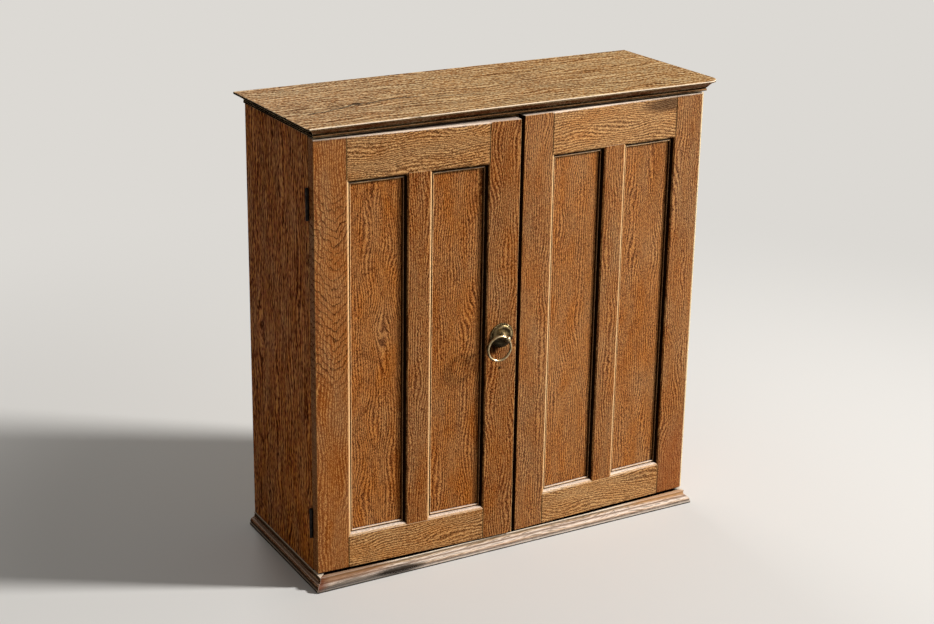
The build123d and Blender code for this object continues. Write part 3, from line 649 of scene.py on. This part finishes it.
def top_rub_and_highlight(side):
    """A pale line along the top arris of a door, between the highest corners, and of those the outermost:
    rubbed, and painted as a highlight where the light from above catches it.
    """
    ends = []
    for stile in ("hinge_stile", "meeting_stile"):
        at_face = face_corners(f"{side}_{stile}")[0]
        ends.append(max(at_face, key=lambda corner: corner.z + 0.001 * abs(corner.x)))
    return seam([ends], 2.8, "#fde8d2", 0.92)


def bead_shade(node, way):
    """Painted shade along the bead at the edge of a stile or muntin, on the side that way gives, where it
    faces away from the light.
    """
    _, corners, inward = face_corners(node)
    above, below = BEAD_CORNERS
    sight = max(way * corner.x for corner in corners if above < corner.z < below) - BEAD_WIDTH
    front = min(corner.dot(inward) for corner in corners) + BEAD_DEPTH
    bead = [c for c in corners if way * c.x > sight and c.dot(inward) < front and c.z > above]
    x = sum(corner.x for corner in bead) / len(bead)
    y = sum(corner.y for corner in bead) / len(bead)
    return seam([[(x, y, BEAD_FOOT), (x, y, BEAD_HEAD)]], 1.2, "#532714", 0.92, solid=0.9)


# The mouldings' members: height from and to, in millimetres, colour and cover.
# The top's moulded edge, band by band: a pale arris, worn and painted as a highlight; below it the quirk,
# the cove and the undercut, dark with old polish and painted shade; a paler fillet; and a dark band at the
# bottom, painted shade.
CORNICE = banded(
    (
        (760.1, 762.8, "#f4dec2", 0.9),
        (758.0, 760.1, "#1e0d04", 0.95),
        (749.5, 758.0, "#4c260f", 0.95),
        (746.0, 749.5, "#090301", 0.97),
        (744.4, 746.0, "#9a6a42", 0.85),
        (742.0, 744.4, "#1a0b04", 0.9),
    ),
    steep=True,
)
# The plinth's moulding, band by band: pale bands on the top fillet and the foot's bead, bleached and painted
# as highlights; darker bands under the fillet, on the riser, the lower ovolo and in the quirk, painted
# shade; and the foot's lowest band, a painted contact shadow.
FOOT_MOULDING = banded(
    (
        (20.7, 22.8, "#f9e6cd", 0.85),
        (16.9, 20.7, "#7d6440", 0.75),
        (12.0, 13.6, "#8a6a50", 0.7),
        (4.9, 7.8, "#6f5a4b", 0.75),
        (4.1, 4.9, "#2e2018", 0.95),
        (1.9, 4.1, "#e4d2bf", 0.6),
        (-0.5, 1.9, "#0a0503", 0.97),
    )
)
# Stains and painted shade: middle and half sizes, in millimetres from the floor under the cupboard's middle,
# colour and cover.
# Painted shade in the nail hole, and dark just round it.
NAIL_HOLE = blotch((-33.8, -120.5, 326.5), (3.4, 14, 3.4), "#0a0502", 1.0)
DARK_CORNER = blotch((284, -112, 727), (64, 40, 15), "#37261b", 0.7)
# Painted shadow of the ring and rose, on the wood below and to the left of the pull.
RING_SHADOW = blotch((-47, -123, 366), (15, 30, 19), "#0b0503", 0.93)
FOOT_RED = blotch((340, -110, 60), (60, 60, 120), "#8a4216", 0.35)
BROWN_FRONT = blotch((-330, -120, 19), (130, 40, 9), "#875930", 0.8)
GOLD_FRONT = blotch((325, -118, 20), (110, 30, 7.5), "#b9824a", 0.75)
GREY_FRONT = blotch((-290, -126, 4), (150, 60, 8.5), "#57524c", 0.75)
DARK_FRONT = blotch((-212, -126, 7.5), (60, 60, 6.5), "#17120e", 0.9)
RED_FOOT = blotch((-368, -118, 15), (28, 40, 16), "#6b3418", 0.85)
# Painted shade on the plinth's ledge in the gap under the doors, along this path.
LEDGE = [(-362, -102.3, 22), (-193, -109.0, 22), (149, -109.0, 22), (362, -102.3, 22)]
UNDER_DOOR_SHADE = seam([LEDGE], 1.6, "#060201", 1.0, solid=8.3)

# A knot and two cracks in the top: places from the cupboard's middle, in millimetres.
TOP_LEVEL = 762
KNOT = blotch((-237, -18, TOP_LEVEL), (9, 11, 6), "#241207", 0.9)
CRACK = [
    (-330, -48), (-318, -43), (-303, -44), (-288, -37), (-272, -33), (-258, -26), (-246, -20), (-233, -19),
    (-219, -21), (-205, -18), (-192, -12), (-178, -11), (-165, -9), (-150, -12), (-137, -12), (-124, -13),
]
SPLIT = [(-127, -20), (-112, -24), (-96, -25), (-80, -30), (-62, -32), (-45, -36), (-29, -37)]
CRACK_DIRT = seam([[(*place, TOP_LEVEL) for place in CRACK]], 3.2, "#150a04", 0.92)
SPLIT_DIRT = seam([[(*place, TOP_LEVEL) for place in SPLIT]], 2.6, "#2c190b", 0.6)
CRACKS = {"top_board": ((CRACK, 1.7), (SPLIT, 1.1))}

# Dents and chips: middle, half sizes, turn and the seed of its roughness.
FOOT_CHIP = ((-365.6, -129.6, 16.0), (4.2, 4.6, 9.0), 0.0, 12)
CORNER_CHIP = ((365.5, -122.5, 22.5), (7.0, 5.5, 3.0), 0.0, 14)
CHIPS = {
    "top_board": [
        ((-237, -18, 762.6), (5.5, 5.0, 1.8), 0.3, 2),
        ((-196, -132.2, 760.6), (12, 2.2, 1.9), 0.0, 3),
        ((-172, -132.4, 761.6), (7, 2.0, 1.6), 0.0, 4),
        ((-60, -132.6, 761.8), (9, 1.9, 1.5), 0.0, 5),
        ((118, -132.6, 761.4), (6, 1.9, 1.6), 0.0, 6),
        ((-374.4, 76, 761.4), (2.2, 6, 1.9), 0.0, 7),
        ((-374.4, -52, 761.2), (2.3, 8, 2.0), 0.0, 8),
        ((-160, 150.0, 761.5), (14, 1.9, 1.8), 0.0, 9),
        ((-374.6, -131.5, 761.4), (3.2, 3.2, 2.2), 0.4, 10),
    ],
    "left_meeting_stile": [((-8.6, -125.0, 24.4), (4.5, 5.0, 3.4), 0.2, 11)],
    "plinth_front": [FOOT_CHIP, ((-366.0, -129.2, 2.5), (4.0, 4.0, 4.0), 0.3, 13), CORNER_CHIP],
    "plinth_left": [FOOT_CHIP],
    "plinth_right": [CORNER_CHIP],
}

# How the doors' boards look: what all of them share, what each kind shares, and each board's own.
# How strongly the doors are painted pale where they face the light, and painted dark where they turn away
# from it.
DOOR_FINISH = dict(bleach=0.9, shade_turned_away=0.98)
DOOR_KINDS = {
    "stile": dict(palette=FRONT),
    "muntin": dict(palette=FRONT),
    "rail": dict(palette=RAIL, directions=CROSS_RAIL),
    "panel": dict(palette=PANEL),
}
DOOR_BOARDS = {
    "left_hinge_stile": dict(
        seed=1.2, heart=(2, -6), lean=(0.0, 0.0), ring=11, rise=-13.5, ink=1.0, wander=8.5, streaks=0.7,
        waves=(11, 11, 20), figure=(-45, 275), shade_turned_away=0.3,
    ),
    "left_meeting_stile": dict(
        seed=2.7, heart=(90, 70), lean=(0.02, 0.03), ring=3.6, stains_and_shade=(RING_SHADOW, NAIL_HOLE),
    ),
    "left_top_rail": dict(seed=4.4, heart=(-45, 50), lean=(0.05, 0.12), ring=4.2, wander=7, ink=0.5),
    "left_bottom_rail": dict(seed=8.3, heart=(70, 60), lean=(0.06, 0.04), ring=3.4, ink=0.3),
    "left_muntin": dict(seed=9.5, heart=(70, 50), lean=(0.02, 0.02), ring=3.0),
    "left_outer_panel": dict(seed=11.3, heart=(-10, 110), lean=(0.03, 0.06), ring=3.2, wander=3),
    "left_inner_panel": dict(seed=12.9, heart=(110, 40), lean=(0.03, 0.03), ring=3.4),
    "right_hinge_stile": dict(seed=13.6, heart=(-90, 80), lean=(0.02, 0.04), ring=3.6, stains_and_shade=(FOOT_RED,)),
    "right_meeting_stile": dict(seed=15.1, heart=(80, 70), lean=(0.02, 0.03), ring=3.4),
    "right_top_rail": dict(seed=16.8, heart=(90, 90), lean=(0.04, 0.05), ring=3.8, stains_and_shade=(DARK_CORNER,)),
    "right_bottom_rail": dict(seed=18.0, heart=(-35, 30), lean=(0.02, 0.1), ring=3.6, wander=7, ink=0.5),
    "right_muntin": dict(seed=19.9, heart=(55, 20), lean=(0.02, 0.02), ring=4.4, ink=0.4),
    "right_inner_panel": dict(seed=21.4, heart=(90, 60), lean=(0.03, 0.03), ring=3.2),
    "right_outer_panel": dict(seed=23.2, heart=(-100, 60), lean=(0.03, 0.03), ring=3.4),
}


def door_look(node, look):
    """The whole look of a door's board: its kind's wood, its own figure, and the wear, dirt, painted
    highlights and painted shade at its edges.
    """
    side, member = node.split("_", 1)
    to_free_end = 1 if side == "left" else -1
    stains_and_shade = list(look.get("stains_and_shade", ()))
    if member in ("hinge_stile", "top_rail", "bottom_rail"):
        stains_and_shade.append(joint_dirt(side + "_hinge_stile", to_free_end))
    if member in ("meeting_stile", "top_rail", "bottom_rail"):
        stains_and_shade.append(joint_dirt(side + "_meeting_stile", -to_free_end))
    if member in ("hinge_stile", "meeting_stile", "top_rail"):
        stains_and_shade.append(top_rub_and_highlight(side))
    if node in ("left_muntin", "left_meeting_stile", "right_muntin", "right_hinge_stile"):
        stains_and_shade.append(bead_shade(node, -1))
    if node == "right_hinge_stile":
        stains_and_shade.append(edge_rub_and_highlight(node, 1))
    return {**DOOR_FINISH, **DOOR_KINDS[node.split("_")[-1]], **look, "stains_and_shade": stains_and_shade}


# How strongly the plinth is painted pale where it faces the light, and painted dark where it turns away from
# it.
PLINTH_FINISH = dict(bleach=0.5, shade_turned_away=0.75)
PLINTH_STAINS_AND_SHADE = (FOOT_MOULDING, BROWN_FRONT, GOLD_FRONT, GREY_FRONT, DARK_FRONT, RED_FOOT, UNDER_DOOR_SHADE)
BOARDS = {
    "top_board": dict(
        directions=FLAT, palette=TOP, seed=3.1, heart=(20, -60), lean=(0.12, 0.07), ring=5.0, wander=7,
        ink=0.45, flecks=0.9, speck=(2.2, 4.2), pitch=11.0, comb_length=65, bands=0.5, shade_turned_away=0.98,
        # The top's faces turned to its left are painted dark, as shade.
        light_from=(1.0, 0.0, 0.1), stains_and_shade=(CORNICE, CRACK_DIRT, SPLIT_DIRT, KNOT),
    ),
    "left_side": dict(
        directions=UPRIGHT_SIDE, palette=SIDE, seed=5.2, heart=(-90, 60), lean=(0.1, 0.03), ring=5.0,
        ink=0.3, streaks=0.85, flecks=0.7, speck=(1.8, 8.0), pitch=7.5, comb_length=30, bands=0.6,
        bleach=0.45,
    ),
    "right_side": dict(
        directions=UPRIGHT_SIDE, palette=FRONT, seed=6.4, heart=(60, -70), lean=(-0.1, 0.03), ring=5.0,
        streaks=0.6, speck=(1.2, 9.0), comb_length=24, bands=0.6,
    ),
    **{node: door_look(node, look) for node, look in DOOR_BOARDS.items()},
    "plinth_front": dict(
        directions=CROSS_RAIL, palette=PLINTH, seed=24.7, heart=(30, 40), ring=3.0, ink=0.5, streaks=0.8,
        speck=(1.3, 12), comb_length=24, bands=0.9, stains_and_shade=PLINTH_STAINS_AND_SHADE, **PLINTH_FINISH,
    ),
    "plinth_left": dict(
        directions=FLAT_SIDE, palette=PLINTH_END, seed=26.1, heart=(30, 40), ring=3.0,
        stains_and_shade=(FOOT_MOULDING,), **PLINTH_FINISH,
    ),
    "plinth_right": dict(
        directions=FLAT_SIDE, palette=PLINTH, seed=27.5, heart=(30, 40), ring=3.0,
        stains_and_shade=(FOOT_MOULDING,), **PLINTH_FINISH,
    ),
    "plinth_back": dict(directions=CROSS_RAIL, palette=INSIDE, seed=28.5, heart=(30, 40)),
    "plinth_corner_blocks": dict(directions=CROSS_RAIL, palette=INSIDE, seed=29.5, heart=(30, 40)),
}
LEVEL_BOARDS = ("bottom_board", "front_top_rail", "back_top_rail", "lower_shelf", "upper_shelf")
for number, node in enumerate(LEVEL_BOARDS):
    heart = (-50 if node == "upper_shelf" else 50, -60)
    BOARDS[node] = dict(directions=FLAT, palette=INSIDE, seed=30.5 + number, heart=heart)
for number in range(1, 7):
    heart = (20 * (number % 3 - 1), -70)
    BOARDS[f"back_board_{number}"] = dict(palette=INSIDE, seed=35 + 1.7 * number, heart=heart)
for node in ("lower_left_bearer", "lower_right_bearer", "upper_left_bearer", "upper_right_bearer"):
    BOARDS[node] = dict(directions=FLAT_SIDE, palette=INSIDE, seed=50.0, heart=(50, 60))

# The rails under the top are eased as a door's are.
DOOR_MEMBERS = ("hinge_stile", "meeting_stile", "top_rail", "bottom_rail", "muntin")
for node, look in BOARDS.items():
    material = oak("oak_" + node, tuple(middle_of(node)), **look)
    board = take_copy(node)
    if node.split("_", 1)[1] in DOOR_MEMBERS:
        ease(board, door_arris(node))
    else:
        ease(board, {"top_board": top_arris, "plinth_front": plinth_arris}.get(node, fine_arris))
    for path, widest in CRACKS.get(node, ()):
        cut(board, crack_waste(path, TOP_LEVEL, widest))
    for place, size, turn, seed in CHIPS.get(node, ()):
        cut(board, lump(place, size, turn, seed))
    smooth(board)
    dress(board, material, node)


# ------------------------------------------------------------------ metal
FILM_SIZE = 5.0
PIT_SIZE = 0.9
PIT_DEPTH = 0.15 * MM
HOLLOW_REACH = 4 * MM


def old_metal(name, bright, dull, deposit_and_shade, metallic, rough, shadow_below=None):
    """Metal that has lain long in a damp room: handling keeps the high places bright while a dull film and
    dark deposit settle in the hollows, so it gleams only along its edges; the faces turned away from the
    light are painted dark with the same colour, as shade.
    Below the height given, if any, in millimetres, that colour lies all over, as painted shadow."""
    material, tree, shader = new_material(name)
    place = put(tree, "TexCoord", out="Object")
    place = put(tree, "VectorMath", {0: place, "Scale": 1 / MM}, operation="SCALE")
    film = put(tree, "TexNoise", {"Vector": place, "Scale": 1 / FILM_SIZE, "Detail": 5.0})
    film = put(tree, "MapRange", {"Value": film, "From Min": 0.38, "From Max": 0.62})
    colour = put(tree, "Mix", {0: film, 6: linear(bright), 7: linear(dull)}, **BLEND)
    hollow_and_shade = put(tree, "AmbientOcclusion", {"Distance": HOLLOW_REACH}, out="AO", samples=4)
    hollow_and_shade = put(tree, "MapRange", {"Value": hollow_and_shade, "From Min": 0.85, "From Max": 0.35})
    facing = put(tree, "TexCoord", out="Normal")
    lit = put(tree, "VectorMath", {0: facing, 1: LIGHT_FROM}, out="Value", operation="DOT_PRODUCT")
    # Painted shade: faces turned away from the light take the deposit's dark colour.
    turned_from_light = put(tree, "MapRange", {"Value": lit, "From Min": 0.05, "From Max": -0.35, "To Max": 0.85})
    hollow_and_shade = put(tree, "Math", {0: hollow_and_shade, 1: turned_from_light}, operation="MAXIMUM")
    # Painted shadow: below the given height the dark colour covers all.
    if shadow_below:
        height = put(tree, "SeparateXYZ", {0: place}, out=2)
        low = {"Value": height, "From Min": shadow_below + 2, "From Max": shadow_below - 3, "To Max": 0.93}
        low = put(tree, "MapRange", low)
        hollow_and_shade = put(tree, "Math", {0: hollow_and_shade, 1: low}, operation="MAXIMUM")
    colour = put(tree, "Mix", {0: hollow_and_shade, 6: colour, 7: linear(deposit_and_shade)}, **BLEND)
    spread = put(tree, "Math", {0: film, 1: 0.22, 2: rough}, operation="MULTIPLY_ADD")
    pits = put(tree, "TexNoise", {"Vector": place, "Scale": 1 / PIT_SIZE, "Detail": 3.0})
    bump = put(tree, "Bump", {"Height": pits, "Strength": 0.25, "Distance": PIT_DEPTH})
    feed(tree, shader, {"Base Color": colour, "Roughness": spread, "Normal": bump, "Metallic": metallic})
    return material


# Below this height the rose is painted dark, as the shadow of the ring and its knob.
RING_SHADE = 381  # the height up to which the ring has kept hands off the rose
brass = old_metal("cast_brass_tarnished", "#dfc9a0", "#a68c62", "#120b06", 1.0, 0.27)
rose_brass = old_metal(
    "cast_brass_painted_shadow_under_ring", "#b39c70", "#73613f", "#0c0705", 1.0, 0.26, shadow_below=RING_SHADE
)
black_iron = old_metal("pressed_steel_blackened", "#3b332b", "#1d1813", "#0b0806", 0.7, 0.5)
PULL_METALS = {"pull_ring": brass, "pull_spindle": brass, "pull_rose": rose_brass}
for node, obj in NODES.items():
    if node not in BOARDS:
        obj.data.materials.clear()
        obj.data.materials.append(PULL_METALS.get(node, black_iron))


TURNED_SMOOTH_BELOW = math.radians(40)


def gather(name, pieces, material, body):
    """Joins copies of one small thing into one piece that rides with a body."""
    bpy.ops.object.select_all(action="DESELECT")
    for piece in pieces:
        piece.select_set(True)
    bpy.context.view_layer.objects.active = pieces[0]
    bpy.ops.object.join()
    group = bpy.context.object
    group.name = name
    group.data.materials.clear()
    group.data.materials.append(material)
    bpy.ops.object.shade_smooth_by_angle(angle=TURNED_SMOOTH_BELOW)
    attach(group, body)


def stand(pattern, place, facing, turn=0.0):
    """A copy of a pattern with its own mesh, set down in a place with its top facing a direction."""
    copy = pattern.copy()
    copy.data = pattern.data.copy()
    bpy.context.collection.objects.link(copy)
    facing = Vector(facing)
    aim = facing.to_track_quat("Z", "Y").to_matrix() @ Matrix.Rotation(turn, 3, "Z")
    copy.data.transform(Matrix.Translation(Vector(place)) @ aim.to_4x4())
    return copy


# Beads cast round the rose's rim.
ROSE_CENTRE = Vector((-31.386, -123.620, 382.45)) * MM
ROSE_ACROSS = DOOR_TURNS["left"]
ROSE_OUT = Vector((ROSE_ACROSS.y, -ROSE_ACROSS.x, 0.0))
BEAD_COUNT = 34
BEAD_RING = 19.25 * MM
BEAD_RADIUS = 1.1 * MM
RIM_HEIGHT = 1.2 * MM
bpy.ops.object.select_all(action="DESELECT")
bpy.ops.mesh.primitive_uv_sphere_add(segments=14, ring_count=8, radius=BEAD_RADIUS, location=(0, 0, 0))
bead = bpy.context.object
beads = []
for number in range(BEAD_COUNT):
    angle = math.tau * number / BEAD_COUNT
    place = ROSE_CENTRE + RIM_HEIGHT * ROSE_OUT
    place += BEAD_RING * (math.cos(angle) * ROSE_ACROSS + math.sin(angle) * Vector((0, 0, 1)))
    beads.append(stand(bead, place, ROSE_OUT))
gather("rose_beads", beads, rose_brass, "left_door")
only(bead)
bpy.ops.object.delete()


# Slotted countersunk wood screws.
SHANK_LENGTH = 6 * MM
SLOT_WIDTH = 0.75 * MM
SLOT_DEPTH = 0.55 * MM


def make_screw(head_radius, shank_radius):
    """Countersunk head with a filed slot, its face at the origin, and a short shank below."""
    bpy.ops.object.select_all(action="DESELECT")
    depth = head_radius - shank_radius
    bpy.ops.mesh.primitive_cone_add(
        vertices=32, radius1=shank_radius, radius2=head_radius, depth=depth, location=(0, 0, -depth / 2)
    )
    screw = bpy.context.object
    bpy.ops.object.transform_apply()
    bpy.ops.object.mode_set(mode="EDIT")
    bpy.ops.mesh.select_mode(type="FACE")
    bpy.ops.mesh.select_all(action="DESELECT")
    bpy.ops.object.mode_set(mode="OBJECT")
    screw.data.polygons[[p.normal.z < -0.9 for p in screw.data.polygons].index(True)].select = True
    bpy.ops.object.mode_set(mode="EDIT")
    bpy.ops.mesh.extrude_region_move(TRANSFORM_OT_translate={"value": (0, 0, -SHANK_LENGTH)})
    bpy.ops.object.mode_set(mode="OBJECT")
    slot_size = (3 * head_radius, SLOT_WIDTH, 2 * SLOT_DEPTH)
    bpy.ops.mesh.primitive_cube_add(size=1, location=(0, 0, 0), scale=slot_size)
    slot = bpy.context.object
    bpy.ops.object.transform_apply()
    cut(screw, slot)
    return screw


# Places of the hinges' screws, in millimetres: heights, then across and back from the knuckles' pins.
HINGE_MIDDLES = (106.4, 635.5)
HOLE_PITCH = 17.0
PIN_X, PIN_Y = 356.8, -89.663
LEAF_HOLE_X, LEAF_FACE_Y = 347.0, -89.363
DOOR_LEAF_REACH = 9.8
DOOR_LEAF_BACK = 0.3
STANDS_PROUD = 0.05
hinge_screw = make_screw(head_radius=3.0 * MM, shank_radius=1.5 * MM)
for side, way in (("left", -1), ("right", 1)):
    turned = DOOR_TURNS[side]
    inward = Vector((-turned.y, turned.x, 0.0))
    for level, middle in zip(("lower", "upper"), HINGE_MIDDLES):
        carcase_screws, door_screws = [], []
        for step in (-1, 0, 1):  # each slot is left turned its own way
            height = middle + step * HOLE_PITCH
            place = Vector((way * LEAF_HOLE_X, LEAF_FACE_Y + STANDS_PROUD, height)) * MM
            carcase_screws.append(stand(hinge_screw, place, (0, -1, 0), 0.7 * step + way))
            place = Vector((way * PIN_X, PIN_Y, height)) - way * DOOR_LEAF_REACH * turned
            place -= (DOOR_LEAF_BACK + STANDS_PROUD) * inward
            door_screws.append(stand(hinge_screw, place * MM, inward, 0.9 * step - way))
        name = f"{side}_{level}_hinge"
        gather(name + "_carcase_screws", carcase_screws, black_iron, "cabinet")
        gather(name + "_door_screws", door_screws, black_iron, side + "_door")

# Two screws through each shelf bearer, at these shares of its length.
BEARER_SCREWS = (0.2, 0.78)
BEARER_PROUD = 0.02
for level in ("lower", "upper"):
    for side, way in (("left", 1), ("right", -1)):
        node = f"{level}_{side}_bearer"
        low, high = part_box(node)
        face = (high.x if way > 0 else low.x) + way * BEARER_PROUD * MM
        screws = []
        for share in BEARER_SCREWS:
            place = (face, low.y + share * (high.y - low.y), (low.z + high.z) / 2)
            screws.append(stand(hinge_screw, place, (way, 0, 0), 3 * share))
        gather(node + "_screws", screws, black_iron, BODY_OF[node])
only(hinge_screw)
bpy.ops.object.delete()


# ------------------------------------------------------------------ studio
CAMERA_PLACE = Vector((-1410.6, -2401.4, 1376.7)) * MM
CAMERA_TURN = math.radians(-27.31)
CAMERA_DROP = math.radians(18.52)
CAMERA_ROLL = math.radians(0.10)
FRAME_WIDTH, FRAME_HEIGHT = 934, 624
FOCAL_PIXELS = 1761.83
CENTRE_PIXEL = (389.52, 273.46)
SENSOR_WIDTH = 36.0
FLOOR_WIDTH = 40
BACKDROP = "#dcd9d4"
EVEN_FROM, EVEN_BEYOND = 0.7, 2.0  # metres from the cupboard's middle

camera_data = bpy.data.cameras.new("camera")
camera_data.sensor_width = SENSOR_WIDTH
camera_data.lens = FOCAL_PIXELS / FRAME_WIDTH * SENSOR_WIDTH
camera_data.shift_x = (FRAME_WIDTH / 2 - CENTRE_PIXEL[0]) / FRAME_WIDTH
camera_data.shift_y = (CENTRE_PIXEL[1] - FRAME_HEIGHT / 2) / FRAME_WIDTH
camera = bpy.data.objects.new("camera", camera_data)
bpy.context.collection.objects.link(camera)
outward = math.cos(CAMERA_DROP)
back = Vector((math.sin(CAMERA_TURN) * outward, -math.cos(CAMERA_TURN) * outward, math.sin(CAMERA_DROP)))
aim = back.to_track_quat("Z", "Y").to_matrix() @ Matrix.Rotation(CAMERA_ROLL, 3, "Z")
camera.matrix_world = Matrix.Translation(CAMERA_PLACE) @ aim.to_4x4()
bpy.context.scene.camera = camera


def floor_material():
    """A pale matt studio floor. Away from the cupboard the camera sees it as one even tone."""
    material, tree, shader = new_material("studio_floor_pale_matt")
    feed(tree, shader, {"Base Color": linear(BACKDROP), "Roughness": 0.9})
    place = put(tree, "TexCoord", out="Object")
    away = put(tree, "VectorMath", {0: place}, out="Value", operation="LENGTH")
    even = {"Value": away, "From Min": EVEN_FROM, "From Max": EVEN_BEYOND}
    even = put(tree, "MapRange", even, interpolation_type="SMOOTHSTEP")
    seen = put(tree, "LightPath", out="Is Camera Ray")
    even = put(tree, "Math", {0: even, 1: seen}, operation="MULTIPLY")
    tone = put(tree, "Emission", {"Color": linear(BACKDROP)})
    mixed = put(tree, "MixShader", {0: even, 1: shader.outputs[0], 2: tone})
    tree.links.new(mixed, tree.nodes["Material Output"].inputs[0])
    return material


bpy.ops.mesh.primitive_plane_add(size=FLOOR_WIDTH, location=(0, 0, 0))
floor = bpy.context.object
floor.name = "floor"
floor.data.materials.append(floor_material())


def softbox(name, place, aim_at, size, power):
    """A round lamp, its places and size in metres and its power in watts."""
    data = bpy.data.lights.new(name, "AREA")
    data.shape = "DISK"
    data.size = size
    data.energy = power
    lamp = bpy.data.objects.new(name, data)
    bpy.context.collection.objects.link(lamp)
    direction = Vector(place) - Vector(aim_at)
    turn = direction.to_track_quat("Z", "Y").to_matrix().to_4x4()
    lamp.matrix_world = Matrix.Translation(place) @ turn


softbox("key_light", (6.0, -3.46, 4.4), aim_at=(0, 0, 0.4), size=1.0, power=950)
softbox("fill_light", (-2.2, -2.4, 1.2), aim_at=(0, 0, 0.4), size=1.6, power=6)
softbox("back_light", (0.3, 2.4, 2.2), aim_at=(0, 0, 0.5), size=1.0, power=16)

world = bpy.data.worlds.new("studio_air")
world.use_nodes = True
world_tree = world.node_tree
air = world_tree.nodes["Background"]
air.inputs[0].default_value = linear(BACKDROP)
seen = put(world_tree, "LightPath", out="Is Camera Ray")
strength = put(world_tree, "MapRange", {"Value": seen, "To Min": 0.2, "To Max": 1.0})
world_tree.links.new(strength, air.inputs[1])
bpy.context.scene.world = world
bpy.context.scene.view_settings.view_transform = "Standard"
